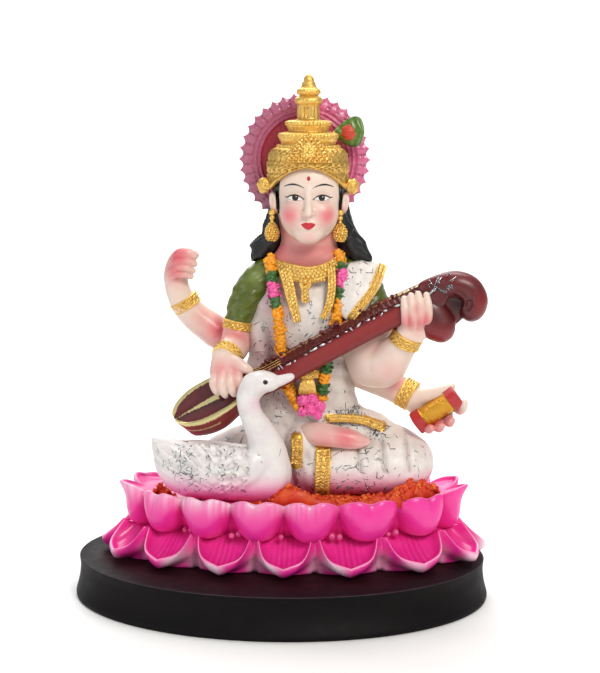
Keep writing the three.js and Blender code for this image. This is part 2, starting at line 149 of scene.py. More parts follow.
def drops(around, level, pitch=1.7):
    """Small cast beads in rows, every row shifted by half a bead, from -1 to 1."""
    row = np.round(level / (pitch * 0.8))
    u = around / pitch - 0.5 * (row % 2)
    u = (u - np.round(u)) * pitch
    reach = np.hypot(u, level - row * pitch * 0.8) / pitch * 2
    uneven = 0.35 * np.sin(around * 2.1 + level * 1.3) * np.sin(around * 0.7)
    return 1.6 * np.sqrt(np.clip(1 - reach ** 2, 0, 1)) - 0.8 + uneven


def curls(around, level, pitch=3.6):
    """A cast filigree of small spirals on a staggered net, from -1 to 1."""
    row = np.round(level / (pitch * 0.86))
    shift = 0.5 * (row % 2)
    u = around / pitch - shift
    u = (u - np.round(u)) * pitch
    v = level - row * pitch * 0.86
    reach = np.hypot(u, v)
    angle = np.arctan2(v, u) * np.where(row % 2 == 0, 1, -1)
    return np.cos(angle + reach * 3.6) * ramp(reach, 2.2, 1.6) - ramp(reach, 1.5, 2.1)


# Forms: a low corner, a high corner, and a function that gives the distance from the skin

def ball(centre, radii, turn=(0, 0, 0)):
    """An ellipsoid, turned by angles in degrees."""
    centre = np.array(centre, float)
    radii = np.array(radii, float)
    facing = turning(turn)
    reach = radii.max()

    def distance(x, y, z):
        dx, dy, dz = x - centre[0], y - centre[1], z - centre[2]
        near, steep = 0, 0
        for axis, radius in zip(facing, radii):
            along = dx * axis[0] + dy * axis[1] + dz * axis[2]
            near = near + (along / radius) ** 2
            steep = steep + (along / radius ** 2) ** 2
        near = np.sqrt(near)
        return near * (near - 1) / (np.sqrt(steep) + TINY)

    return [(centre - reach, centre + reach, distance)]


def capsule(start, end, flat):
    """A rounded rod between two stations x, y, z, half width and half thickness."""
    a, b = start[:3], end[:3]
    length = max(np.linalg.norm(b - a), TINY)
    along = (b - a) / length
    side = unit(np.cross(flat, along))
    over = np.cross(along, side)
    reach = max(*start[3:5], *end[3:5])

    def distance(x, y, z):
        dx, dy, dz = x - a[0], y - a[1], z - a[2]
        travel = dx * along[0] + dy * along[1] + dz * along[2]
        t = np.clip(travel / length, 0, 1)
        past = travel - t * length
        across = dx * side[0] + dy * side[1] + dz * side[2]
        through = dx * over[0] + dy * over[1] + dz * over[2]
        half = start[3] + (end[3] - start[3]) * t
        thick = start[4] + (end[4] - start[4]) * t
        cap = np.minimum(half, thick)
        near = np.sqrt((across / half) ** 2 + (through / thick) ** 2 + (past / cap) ** 2)
        steep = np.sqrt((across / half ** 2) ** 2 + (through / thick ** 2) ** 2
                + (past / cap ** 2) ** 2)
        return near * (near - 1) / (steep + TINY)

    return np.minimum(a, b) - reach, np.maximum(a, b) + reach, distance


def limb(rows, flat=FRONT, parts=5):
    """A limb through stations x, y, z, half width and, if it isn't round, half thickness."""
    rows = smooth_rows(stations(rows), parts)
    rows[:, 3:] = np.maximum(rows[:, 3:], 0.15)
    return [capsule(a, b, flat) for a, b in zip(rows, rows[1:])]


def column(rows):
    """Level ovals on top of each other: x, y, z and two half widths."""
    rows = smooth_rows(rows)
    level = rows[:, 2]
    reach = rows[:, 3:5].max()
    low = np.array([rows[:, 0].min() - reach, rows[:, 1].min() - reach, level[0]])
    high = np.array([rows[:, 0].max() + reach, rows[:, 1].max() + reach, level[-1]])

    def distance(x, y, z):
        cx, cy, half_x, half_y = (np.interp(z, level, rows[:, i]) for i in (0, 1, 3, 4))
        dx, dy = x - cx, y - cy
        near = np.sqrt((dx / half_x) ** 2 + (dy / half_y) ** 2)
        steep = np.sqrt((dx / half_x ** 2) ** 2 + (dy / half_y ** 2) ** 2)
        beside = near * (near - 1) / (steep + TINY)
        return np.maximum(beside, np.maximum(level[0] - z, z - level[-1]))

    return [(low, high, distance)]


class Clay:
    """A block of clay that forms are added to and cut from, kept as distances from its skin."""

    def __init__(self, low, high, grain):
        self.grain = grain * 1
        self.low = np.array(low, float)
        size = np.ceil((np.array(high) - self.low) / self.grain).astype(int) + 1
        self.skin = np.full(size, FAR, np.float32)

    def window(self, low, high):
        """The part of the block between two corners, and the places of its grains."""
        first = np.floor((low - self.low) / self.grain).astype(int)
        last = np.ceil((high - self.low) / self.grain).astype(int) + 1
        first = np.clip(first, 0, self.skin.shape)
        last = np.clip(last, first, self.skin.shape)
        places = [self.low[i] + self.grain * np.arange(first[i], last[i], dtype=np.float32)
                for i in range(3)]
        return tuple(map(slice, first, last)), np.meshgrid(*places, indexing="ij", sparse=True)

    def group(self, forms, knit, relief):
        """Several forms knitted together, with relief that raises their skin."""
        margin = 1.6 + knit
        low = np.min([form[0] for form in forms], axis=0) - margin
        high = np.max([form[1] for form in forms], axis=0) + margin
        whole, grid = self.window(low, high)
        found = np.full(self.skin[whole].shape, FAR, np.float32)
        start = [part.start for part in whole]
        for form_low, form_high, distance in forms:
            part, places = self.window(form_low - margin, form_high + margin)
            local = tuple(slice(p.start - s, p.stop - s) for p, s in zip(part, start))
            if found[local].size:
                found[local] = merge(found[local], distance(*places), knit)
        if relief is not None:
            found -= relief(*grid)
        return whole, found

    def add(self, forms, blend=0.6, knit=0.0, relief=None):
        whole, found = self.group(forms, knit, relief)
        self.skin[whole] = merge(self.skin[whole], found, blend)

    def limb(self, rows, blend=0.6, knit=0.0, relief=None, flat=FRONT):
        self.add(limb(rows, flat), blend, knit, relief)

    def cut(self, forms, blend=0.3, knit=0.0):
        whole, found = self.group(forms, knit, None)
        self.skin[whole] = -merge(-self.skin[whole], found, blend)

    def everywhere(self):
        """The places of all grains."""
        return self.window(self.low, self.low + np.array(self.skin.shape) * self.grain)[1]

    def trim_below(self, height):
        self.skin = np.maximum(self.skin, height - self.everywhere()[2])

    def raise_by(self, relief):
        self.skin = (self.skin - relief(*self.everywhere())).astype(np.float32)

    def fired(self):
        """The finished skin as points and four-cornered faces."""
        grid = openvdb.FloatGrid(FAR)
        grid.copyFromArray(self.skin.astype(np.float64))
        points, _, quads = grid.convertToPolygons(isovalue=0.0, adaptivity=0.0)
        points = points * self.grain + self.low
        corners = points[quads[:, :3]]
        volume = np.einsum("ij,ij->i", corners[:, 0], np.cross(corners[:, 1], corners[:, 2]))
        if volume.sum() < 0:
            quads = quads[:, ::-1]
        return points, [quads.astype(np.int32)]


# Meshes

def grid_faces(rows, columns, closed=True):
    """Faces between rows of points, each row closed into a loop or left open."""
    place = np.arange(columns if closed else columns - 1)
    row = np.arange(rows - 1)[:, None] * columns
    a, b = row + place, row + (place + 1) % columns
    return np.stack([a, b, b + columns, a + columns], -1).reshape(-1, 4)


def loops(rings):
    """A skin over closed loops of points, with a flat cap at both ends."""
    rings = np.array(rings, float)
    rows, columns, _ = rings.shape
    caps = np.array([np.arange(columns)[::-1], np.arange(columns) + (rows - 1) * columns])
    return rings.reshape(-1, 3), [grid_faces(rows, columns), caps]


def together(meshes):
    """Several meshes as one."""
    points, faces, count = [], [], 0
    for some_points, some_faces in meshes:
        points.append(some_points)
        faces += [part + count for part in some_faces]
        count += len(some_points)
    return np.vstack(points), faces


def bead_mesh(cuts=3):
    """A unit ball made of a puffed-up cube."""
    line = np.linspace(-1, 1, cuts + 1)
    points, faces = [], []
    for axis in range(3):
        for sign in (-1, 1):
            u, v = np.meshgrid(line, line, indexing="ij")
            side = np.full((cuts + 1) ** 2, float(sign))
            places = np.empty((len(side), 3))
            places[:, axis] = side
            places[:, (axis + 1) % 3] = np.tan(u.ravel() * math.pi / 4)
            places[:, (axis + 2) % 3] = np.tan(v.ravel() * math.pi / 4)
            made = grid_faces(cuts + 1, cuts + 1, closed=False)
            faces.append((made if sign < 0 else made[:, ::-1]) + len(points) * len(side))
            points.append(places)
    points = np.vstack(points)
    points /= np.linalg.norm(points, axis=1)[:, None]
    _, first, merged = np.unique(points.round(5), axis=0, return_index=True, return_inverse=True)
    return points[first], [merged.reshape(-1)[np.vstack(faces)]]


BEAD = bead_mesh()
SMALL_BEAD = bead_mesh(2)


def beads(places, ball_mesh=None):
    """Balls at the listed places, given as x, y, z and one radius or three."""
    points, faces = ball_mesh or BEAD
    made = []
    for x, y, z, *radii in places:
        made.append((points * (radii if len(radii) == 3 else radii[0]) + (x, y, z), faces))
    return together(made)


def frames(path, flat, closed=False):
    """Places along a path, and the side and outward directions there."""
    middle = path[:, :3]
    ahead, behind = np.roll(middle, -1, 0), np.roll(middle, 1, 0)
    if not closed:
        ahead[-1], behind[0] = middle[-1], middle[0]
    along = ahead - behind
    along /= np.linalg.norm(along, axis=1)[:, None]
    side = np.cross(np.broadcast_to(flat, along.shape), along)
    side /= np.linalg.norm(side, axis=1)[:, None]
    return middle[:, None], side[:, None], np.cross(along, side)[:, None]


def tube(path, sides=10, flat=FRONT, closed=False):
    """A rod along stations x, y, z, half width and half thickness, or a closed ring of it."""
    path = np.array(stations(path), float)
    middle, side, over = frames(path, flat, closed)
    turn = turns(sides)
    rings = (middle + np.cos(turn)[None, :, None] * side * path[:, 3, None, None]
            + np.sin(turn)[None, :, None] * over * path[:, 4, None, None])
    if not closed:
        return loops(rings)
    return rings.reshape(-1, 3), [grid_faces(len(path) + 1, sides) % rings[..., 0].size]


def ribbon(rows, pitch=2.2, depth=0.35, flat=FRONT, parts=12, pattern=curls):
    """A flat band along stations x, y, z, half width and half thickness, cast with a pattern
    between two corded edges."""
    path = smooth_rows(rows, parts)
    middle, side, over = frames(path, flat)
    travel = lengths(path[:, :3])[:, None]
    half, thick = path[:, 3, None], path[:, 4, None]
    across = np.linspace(1, -1, 17)[None, :]
    cord = hump(np.abs(across) - 0.84, 0.12) * (1 + 0.4 * np.cos(travel * 5))
    scroll = pattern(travel, across * half, pitch) * (np.abs(across) < 0.72)
    rise = thick * np.sqrt(1 - 0.85 * across ** 2) + depth * (cord + scroll)
    front = middle + side * (across * half)[..., None] + over * rise[..., None]
    back = middle - side * (across * half * 0.97)[..., None] - over * thick[..., None] * 0.8
    return loops(np.concatenate([front, back], axis=1))


def laid_on(points, line, half, thick=0.5, lift=0.2):
    """Stations of a ribbon that lies on the front of a skin, along a line given as x and z."""
    rows = []
    for x, z in even(line, 12):
        apart = np.hypot(points[:, 0] - x, points[:, 2] - z)
        front = points[apart < 1.4, 1].min()
        rows.append([x, front - lift, z, half, thick])
    return rows


def outward(points, faces):
    """The way out of the skin at each point."""
    quads = np.vstack([part for part in faces if part.shape[1] == 4])
    first, second, third, fourth = points[quads.T]
    across = np.cross(third - first, fourth - second)
    normal = np.stack([np.bincount(quads.T.ravel(), np.tile(across[:, axis], 4), len(points))
            for axis in range(3)], 1)
    return normal / (np.linalg.norm(normal, axis=1)[:, None] + TINY)


def hollows(points, faces, rounds=3):
    """How far each point lies below its surroundings, in millimetres."""
    edges = np.vstack([np.stack([part[:, i], part[:, (i + 1) % part.shape[1]]], 1)
            for part in faces for i in range(part.shape[1]) if part.shape[1] < 6])
    edges = np.vstack([edges, edges[:, ::-1]])
    count = np.bincount(edges[:, 0], minlength=len(points))[:, None] + TINY
    soft = points
    for _ in range(rounds):
        soft = np.stack([np.bincount(edges[:, 0], soft[edges[:, 1], axis], len(points))
                for axis in range(3)], 1) / count
    return ((soft - points) * outward(points, faces)).sum(1)


# The strength of the painted shade laid in hollows: the deeper a point lies below its surroundings, the
# darker, up to most
def hollow_mask(shape, gain=1.6, rounds=4, most=0.85):
    return np.clip(hollows(*shape, rounds) * gain, 0, most)


def piece(name, shape, material, node, masks=None):
    """A shown piece that stands for a CAD node, with the masks that its paint follows.

    A mask is a value for each point, or one for all of them.
    """
    points, faces = shape
    mesh = bpy.data.meshes.new(name)
    mesh.vertices.add(len(points))
    mesh.vertices.foreach_set("co", (points * MM).astype(np.float32).ravel())
    corners = np.concatenate([part.ravel() for part in faces]).astype(np.int32)
    sizes = np.concatenate([np.full(len(part), part.shape[1]) for part in faces])
    mesh.loops.add(len(corners))
    mesh.loops.foreach_set("vertex_index", corners)
    mesh.polygons.add(len(sizes))
    starts = np.concatenate([[0], np.cumsum(sizes)[:-1]])
    mesh.polygons.foreach_set("loop_start", starts.astype(np.int32))
    mesh.update(calc_edges=True)
    mesh.validate()
    for mask, values in (masks or {}).items():
        attribute = mesh.attributes.new(mask, "FLOAT", "POINT")
        attribute.data.foreach_set("value", np.full(len(points), values, np.float32))
    mesh.materials.append(material)
    made = bpy.data.objects.new(name, mesh)
    bpy.context.scene.collection.objects.link(made)
    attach(made, "root")
    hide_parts(node)


# Materials. The hollow coat, wherever a material has one, is painted shade, darkest in creases and recesses

def linear(code):
    """The linear colour of an sRGB hex value."""
    parts = [int(code[i:i + 2], 16) / 255 for i in (0, 2, 4)]
    return *(c / 12.92 if c <= 0.04045 else ((c + 0.055) / 1.055) ** 2.4 for c in parts), 1.0


def add_node(tree, kind, inputs=None, **settings):
    """Adds a shader node with its settings, and sets or links its inputs."""
    made = tree.nodes.new("ShaderNode" + kind)
    for name, value in settings.items():
        setattr(made, name, value)
    for name, value in (inputs or {}).items():
        if isinstance(value, bpy.types.NodeSocket):
            tree.links.new(value, made.inputs[name])
        else:
            made.inputs[name].default_value = value
    return made


FACTOR, COLOUR_A, COLOUR_B, MIXED = 0, 6, 7, 2


def painted(name, base, coats=(), roughness=0.42, metallic=0.0, varnish=0.2, mottle=(3.0, "", 0.0),
        grit=(0.6, 0.03), gilded=None, soft=0.0, gloss=0.5):
    """Paint on cast resin.

    Coats are laid over the base in turn, each a mask, a colour, and the width in millimetres
    of its edge, left out where the mask itself says how thick the coat is. Gilded is one more
    coat, of metal. Mottle is the size, colour and strength of cloudy patches, and grit the
    size and height of the surface's grain.
    """
    material = bpy.data.materials.new(name)
    material.use_nodes = True
    tree = material.node_tree
    shader = tree.nodes["Principled BSDF"]
    place = add_node(tree, "TexCoord").outputs["Object"]
    colour = None

    def lay(factor, code):
        nonlocal colour
        under = colour or linear(base)
        mixed = add_node(tree, "Mix", {FACTOR: factor, COLOUR_A: under, COLOUR_B: linear(code)},
                data_type="RGBA", clamp_factor=True)
        colour = mixed.outputs[MIXED]

    def covered(mask, edge=None):
        factor = add_node(tree, "Attribute", attribute_name=mask).outputs["Fac"]
        if edge is None:
            return factor
        return add_node(tree, "MapRange", {"Value": factor, "From Min": -edge, "From Max": edge},
                interpolation_type="SMOOTHSTEP").outputs[0]

    size, cloud, strength = mottle
    clouds = add_node(tree, "TexNoise", {"Vector": place, "Scale": 1 / (size * MM), "Detail": 4.0,
            "Roughness": 0.6})
    if cloud:
        patches = add_node(tree, "MapRange", {"Value": clouds.outputs["Fac"], "From Min": 0.42,
                "From Max": 0.68, "To Max": strength})
        lay(patches.outputs[0], cloud)
    for mask, code, *edge in coats:
        lay(covered(mask, *edge), code)
    if gilded:
        mask, code, edge = gilded
        leaf = covered(mask, edge)
        lay(leaf, code)
        tree.links.new(leaf, shader.inputs["Metallic"])
    else:
        shader.inputs["Metallic"].default_value = metallic
    if colour is None:
        shader.inputs["Base Color"].default_value = linear(base)
    else:
        tree.links.new(colour, shader.inputs["Base Color"])
    shine = add_node(tree, "MapRange", {"Value": clouds.outputs["Fac"], "From Min": 0.3, "From Max": 0.7,
            "To Min": roughness - 0.07, "To Max": roughness + 0.07})
    tree.links.new(shine.outputs[0], shader.inputs["Roughness"])
    shader.inputs["Coat Weight"].default_value = varnish
    shader.inputs["Coat Roughness"].default_value = 0.18
    shader.inputs["Specular IOR Level"].default_value = gloss
    if soft:
        shader.inputs["Subsurface Weight"].default_value = soft
        shader.inputs["Subsurface Scale"].default_value = 1.2 * MM
        shader.inputs["Subsurface Radius"].default_value = (1.0, 0.5, 0.35)
    grit_size, grit_height = grit
    grain = add_node(tree, "TexNoise", {"Vector": place, "Scale": 1 / (grit_size * MM), "Detail": 3.0})
    bump = add_node(tree, "Bump", {"Height": grain.outputs["Fac"], "Distance": grit_height * MM,
            "Strength": 1.0})
    tree.links.new(bump.outputs[0], shader.inputs["Normal"])
    return material


# Skin is a cream enamel, airbrushed with rose at the cheeks, elbows and fingers; the same rose coat also
# lays painted shade under the chin, and the hollow coat is painted shade in the creases
SKIN_COATS = [("blush_and_shade", "e0606e"), ("hollow", "b8604f")]
skin_enamel = painted("airbrushed_skin_enamel", "e9d5c6", SKIN_COATS, 0.4, varnish=0.25,
        mottle=(5.0, "e4c6b6", 0.5), grit=(0.9, 0.02), soft=0.12)
face_enamel = painted("face_enamel", "ecd8c9", SKIN_COATS + [
    ("sideburn", "121011", 0.12),
    ("eye_white", "f4efe9", 0.12),
    ("iris", "1a1210", 0.1),
    ("glint", "ffffff", 0.08),
    ("lid", "0d0a0a", 0.1),
    ("brow", "14100f", 0.12),
    ("lips", "c4202f", 0.14),
    ("bindi", "c0182a", 0.1),
], 0.42, varnish=0.12, mottle=(5.0, "e8cbbc", 0.4), grit=(0.9, 0.012), soft=0.12)
# Cloth is cast in the same resin, under a flat white with painted shade in its folds and foil borders
white_cloth = painted("white_cloth_enamel", "e9e3dd", [
    ("hollow", "a8978e"), ("rose", "df6796"), ("tarnish", "a8641a"),
], 0.5, varnish=0.12, mottle=(4.0, "d8ccc5", 0.7), grit=(0.45, 0.06), gilded=("border", "eec050", 0.25))
# Olive enamel with painted shade in its creases and a painted highlight on top of the right shoulder
green_cloth = painted("olive_green_enamel", "57650f", [("hollow", "27340c"), ("shoulder_highlight", "9fb06a")], 0.38,
        varnish=0.35, mottle=(3.0, "3f4d0c", 0.7), grit=(0.7, 0.04))
# Black enamel, blacker in the hollows as painted shade
black_hair = painted("black_enamel", "0a0a0c", [("hollow", "040404")], 0.38, varnish=0.25,
        mottle=(2.0, "17191c", 0.5))
# Bronze-powder paint: shining gold on the high places, with painted shade of rusty brown in the low ones
gold_paint = painted("gold_paint", "f6cf72", [("hollow", "8a4612")], 0.34, 0.75, varnish=0.1,
        mottle=(0.9, "d79a38", 0.75), grit=(0.35, 0.16))
# Tinted lacquer over white, thin and pale where a brush has dragged, with painted shade of deep pink in the
# creases and under the upper tier
pink_lacquer = painted("pink_lotus_lacquer", "f22c9c", [
    ("root", "b80f58"), ("hollow", "ab0f5a"), ("wash", "f5d6e4"), ("rim", "fbc4de"),
], 0.36, varnish=0.3, mottle=(5.0, "f650ac", 0.25), grit=(0.8, 0.04))
# Black lacquer with a reddish coat on the top, partly crimson overspray and partly painted sheen, and a
# painted highlight along the top edge
black_lacquer = painted("black_lacquer", "080506", [("overspray_and_sheen", "2a0b12"), ("edge", "3a3235", 0.12)],
        0.6, varnish=0.0, mottle=(6.0, "120c0e", 0.8), grit=(1.2, 0.03), gloss=0.14)
# White enamel with painted shade in its hollows and a rose airbrush low down
white_swan_enamel = painted("white_swan_enamel", "eae6e2", [
    ("hollow", "a5949c"), ("rose", "ee68ab"), ("eye", "0b0b0b", 0.1),
], 0.38, varnish=0.25, mottle=(5.0, "ddd3d6", 0.6), grit=(0.6, 0.03), soft=0.1)
# Maroon lacquer with painted highlights of lighter crimson where light falls, painted shade in the hollows,
# and pale gold trim
maroon_lacquer = painted("maroon_lacquer", "5f151b", [("crimson_highlight", "8e181a"), ("hollow", "24060a")],
        0.4, varnish=0.2, mottle=(2.0, "47100f", 0.85), grit=(0.8, 0.06),
        gilded=("trim", "dccd92", 0.2))
# Tinted resin with a dark red middle; painted shade darkens and greys the left side, painted light pales
# the right side, and painted shade lies in the hollows
halo_resin = painted("tinted_halo_resin", "c83c74", [
    ("centre", "9b2434"), ("pale", "ec8fb8"), ("grey", "a8687e"), ("hollow", "8a1f46"),
], 0.3, varnish=0.4, mottle=(1.6, "dc7ca6", 0.7), grit=(0.8, 0.05), soft=0.15)
# Coral grit, darker in the hollows between the lumps as painted shade
crumb_resin = painted("coral_grit", "dc3a0e", [("tone", "f67a2c"), ("hollow", "8c1206")], 0.55,
        varnish=0.1, mottle=(1.1, "a81c08", 0.6), grit=(0.35, 0.14))
silver_wire = painted("silver_wire", "d8dde0", (), 0.3, 1.0, varnish=0.0, mottle=(0.8, "8f979a", 0.6))
glitter_foil = painted("glitter_foil", "dfe6ea", [("tone", "2b2e35"), ("tint", "7fd8c8")], 0.2, 1.0,
        varnish=0.0, mottle=(0.7, "9fb4bb", 0.6))
# Paper petals in three colours, each darker in its hollows as painted shade
petal_paint = {
    colour: painted(colour + "_petal_paint", code, [("hollow", deep)], 0.42, varnish=0.2,
                    mottle=(1.0, light, 0.6), grit=(0.4, 0.06))
    for colour, code, deep, light in (
        ("orange", "f39a12", "a04c08", "fbc22e"),
        ("green", "33602a", "0f2c12", "5c8a40"),
        ("rose", "f04ca0", "a51a5c", "fa9ccc"),
    )
}


# Glitter

def glitter(name, shape, node, count, reach):
    """Strands of foil pressed on a skin, more of them where reach is high."""
    points, faces = shape
    normal = outward(points, faces)
    weight = np.maximum(reach, 0.0)
    chosen = seeded.choice(len(points), count, p=weight / weight.sum())
    corner = np.array([(x, y, z) for x in (-1, 1) for y in (-1, 1) for z in (-1, 1)], float)
    box_faces = np.array([(0, 1, 3, 2), (4, 6, 7, 5), (0, 4, 5, 1), (2, 3, 7, 6), (0, 2, 6, 4),
        (1, 5, 7, 3)])
    strands, tones, tints = [], [], []
    for place, out in zip(points[chosen], normal[chosen]):
        along = unit(np.cross(out, seeded.normal(size=3)) + out * seeded.uniform(-0.1, 0.1))
        side = unit(np.cross(out, along))
        half = 0.25 + 1.5 * seeded.random() ** 1.8
        wide = seeded.uniform(0.09, 0.17)
        axes = np.stack([along * half, side * wide, np.cross(along, side) * 0.06])
        strands.append((corner @ axes + place + out * 0.14, [box_faces]))
        tones += [seeded.random() ** 1.3] * 8
        tints += [0.8 if seeded.random() < 0.06 else 0.0] * 8
    piece(name, together(strands), glitter_foil, node, {"tone": tones, "tint": tints})


# Plinth

def plinth():
    """An oval board with a hollowed side, a spreading foot and a painted highlight along its top edge."""
    half_x, half_y, flare_x, flare_y = 89.5, 61.5, 1.6, 3.6
    sides = 180
    profile = smooth_rows([
        # height, share of the flare, inset
        [0, 0.6, 3], [0, 0.78, 0.3], [0.8, 0.98, 0], [2.1, 1, 0], [4.4, 0.6, 0],
        [7.1, 0.2, 0], [10.2, -0.1, 0], [13.3, -0.25, 0], [15.6, -0.17, 0],
        [17.1, -0.03, 0], [17.55, 0, 0.12], [17.7, 0, 0.6], [17.62, 0, 1.8], [17.6, 0, 8],
        [17.6, 0, 20], [17.6, 0, 40],
    ], 4)
    turn = turns(sides)
    rings = [np.stack([np.cos(turn) * (half_x + out * flare_x - inset),
            np.sin(turn) * (half_y + out * flare_y - inset),
            np.full(sides, height)], 1) for height, out, inset in profile]
    shape = loops(rings)
    inset = np.repeat(profile[:, 2], sides)
    height = np.repeat(profile[:, 0], sides)
    speckle = seeded.random(len(inset))
    piece("plinth_board", shape, black_lacquer, "plinth", {
        # A speckled painted highlight along the top edge, and the reddish top growing toward the lotus,
        # partly overspray and partly painted sheen
        "edge": 0.12 - np.hypot(inset - 0.25, height - 17.6) + 0.2 * speckle,
        "overspray_and_sheen": np.where(height > 17, 0.8 * ramp(inset, 2, 14), 0.0),
    })


plinth()


# Lotus

LOTUS_X, LOTUS_FOOT = 5.0, 18.0
SEAT = 46.0
PETAL_STEPS = 36


def oval_places(half_x, half_y, shares):
    """Points on an oval at shares of its length, and the way out at each."""
    turn = np.linspace(0, math.tau, 4097)
    places = np.stack([half_x * np.cos(turn), half_y * np.sin(turn)], 1)
    length = lengths(places)
    angle = np.interp(shares % 1 * length[-1], length, turn)
    out = np.stack([np.cos(angle) / half_x, np.sin(angle) / half_y], 1)
    return (np.stack([half_x * np.cos(angle), half_y * np.sin(angle)], 1),
            out / np.linalg.norm(out, axis=1)[:, None])


def spread(shares):
    """Shares of the way round from the front, moved so that the right front petals are wider."""
    side = (shares + 0.5) % 1 - 0.5
    right = 0.03 * hump(side - 0.17, 0.09)
    left = 0.01 * hump(side + 0.15, 0.09)
    return shares + right - left


def petal_columns(count):
    """Places across the petals, counted in petals and closer together at each petal's sides."""
    fine = np.linspace(0, 1, 801)
    crowd = 1 + 3 * hump(np.abs(2 * fine - 1) - 0.86, 0.1)
    travel = np.concatenate([[0], np.cumsum(crowd[1:])])
    within = np.interp(np.linspace(0, travel[-1], PETAL_STEPS, endpoint=False), travel, fine)
    return (np.arange(count)[:, None] - 0.5 + within).ravel()


def petal_tier(half_x, half_y, count, start, rows, point, shaped):
    """A tier of petals as one skin.

    Each row gives the setback and the height, both at a petal's middle and in the valley
    beside it, then how full the petal is on the way there, seen from above and from the
    front, and the share of its room that the petal takes. Point is how sharp its tip is.
    """
    steps = petal_columns(count)
    places, out = oval_places(half_x, half_y, spread((steps + start) / count) - 0.25)
    across = (steps + 0.5) % 1 * 2 - 1
    end = np.abs(places[:, 0]) / half_x
    rows = smooth_rows(rows, 3)
    rings, rises = [], np.linspace(0, 1, len(rows))
    for rise, (back, valley_back, level, valley_level, full_back, full_up, room) in zip(rises, rows):
        away = np.clip(np.abs(across) / room, 0, 1)
        back = back + (valley_back - back) * (point * away + (1 - point) * away ** full_back)
        level = level + (valley_level - level) * (point * away + (1 - point) * away ** full_up)
        more_back, more_level = shaped(across, rise, end)
        back, level = back + more_back, level + more_level
        inward = np.minimum(back, 17)[:, None]
        shrink = 1 - np.clip(back - 17, 0, 19)[:, None] / 19.2
        flat = (places - out * inward) * shrink
        rings.append(np.stack([LOTUS_X + flat[:, 0], flat[:, 1], LOTUS_FOOT + level], 1))
    across = np.tile(across, len(rows))
    number = np.tile(np.floor(steps + 0.5) % count, len(rows)).astype(int)
    return loops(rings), across, np.repeat(rises, len(steps)), number


def lower_petals():
    """Drooping leaf-shaped petals, hollow on top, with a soft pale rim and fine flutes."""
    rows = [
        [9.6, 12.6, 0, 0, 2.4, 3, 0.96],
        [8.8, 12, 0.2, 4.6, 2.4, 1.6, 0.94],
        [2.8, 10, 0.9, 7.6, 2.8, 1.7, 0.9],
        [0.5, 9.6, 2.7, 11.4, 4, 3.4, 0.88],
        [0, 9.8, 4.5, 14, 5.4, 5.8, 0.86],
        [0.4, 10.2, 5.3, 15.2, 6, 6.8, 0.86],
        [1.3, 10.8, 5.4, 15.4, 6, 6.8, 0.85],
        [2.3, 11.6, 4.8, 15, 5.4, 6.4, 0.84],
        [4.4, 12.8, 4.5, 14.4, 4.4, 5.4, 0.83],
        [8.6, 14.6, 6.2, 14, 3.2, 4, 0.84],
        [13.5, 16.6, 9.6, 14.2, 2.4, 2.6, 0.88],
        [18.5, 18.5, 14, 14.8, 2, 2, 1],
    ]
    rim_at, inside_from = 5 / 11, 7 / 11
    flutes = 11

    def shaped(across, rise, end):
        flute = np.cos(across * flutes * math.pi) * (1 - np.clip(np.abs(across) / 0.66, 0, 1) ** 2)
        inside = ramp(rise, inside_from, 0.74) * (1 - ramp(rise, 0.94, 1.0))
        cleft = 1.8 * ramp(np.abs(across), 0.85, 1.0) * (1 - inside)
        return cleft, 0.2 * flute * inside

    shape, across, rise, number = petal_tier(86, 43, 16, -0.1, rows, 0.34, shaped)
    deep = hollows(*shape, 4)
    side = np.abs(across)
    tone = seeded.random(16)[number]
    lean = seeded.uniform(-0.5, 0.5, 16)[number]
    outside = ramp(rise, rim_at, rim_at - 0.08)
    flute = (0.5 - 0.5 * np.cos(across * flutes * math.pi)) ** 3 * ramp(side, 0.66, 0.4)
    inside = ramp(rise, inside_from, 0.74)
    low_wall = ramp(side, 0.6, 0.95) * ramp(rise, 0.3, 0.06)
    brushed = ramp(np.abs(across - lean), 0.5, 0.05) * ramp(rise, 0.02, 0.2)
    piece("lotus_lower_petals", shape, pink_lacquer, "lotus", {
        # Painted shade: deep pink under the upper tier and down the flutes, and in the hollows
        "root": np.clip(0.4 * ramp(rise, 0.9, 1.0) + 0.4 * flute * inside, 0, 1),
        "hollow": np.clip(deep * (rise > 0.3), 0, 0.4),
        "rim": hump(rise - rim_at - 0.03, 0.06) * 0.75 * ramp(side, 0.9, 0.8),
        "wash": np.clip(outside * brushed * (0.3 + 0.7 * tone) + 0.6 * low_wall, 0, 1),
    })


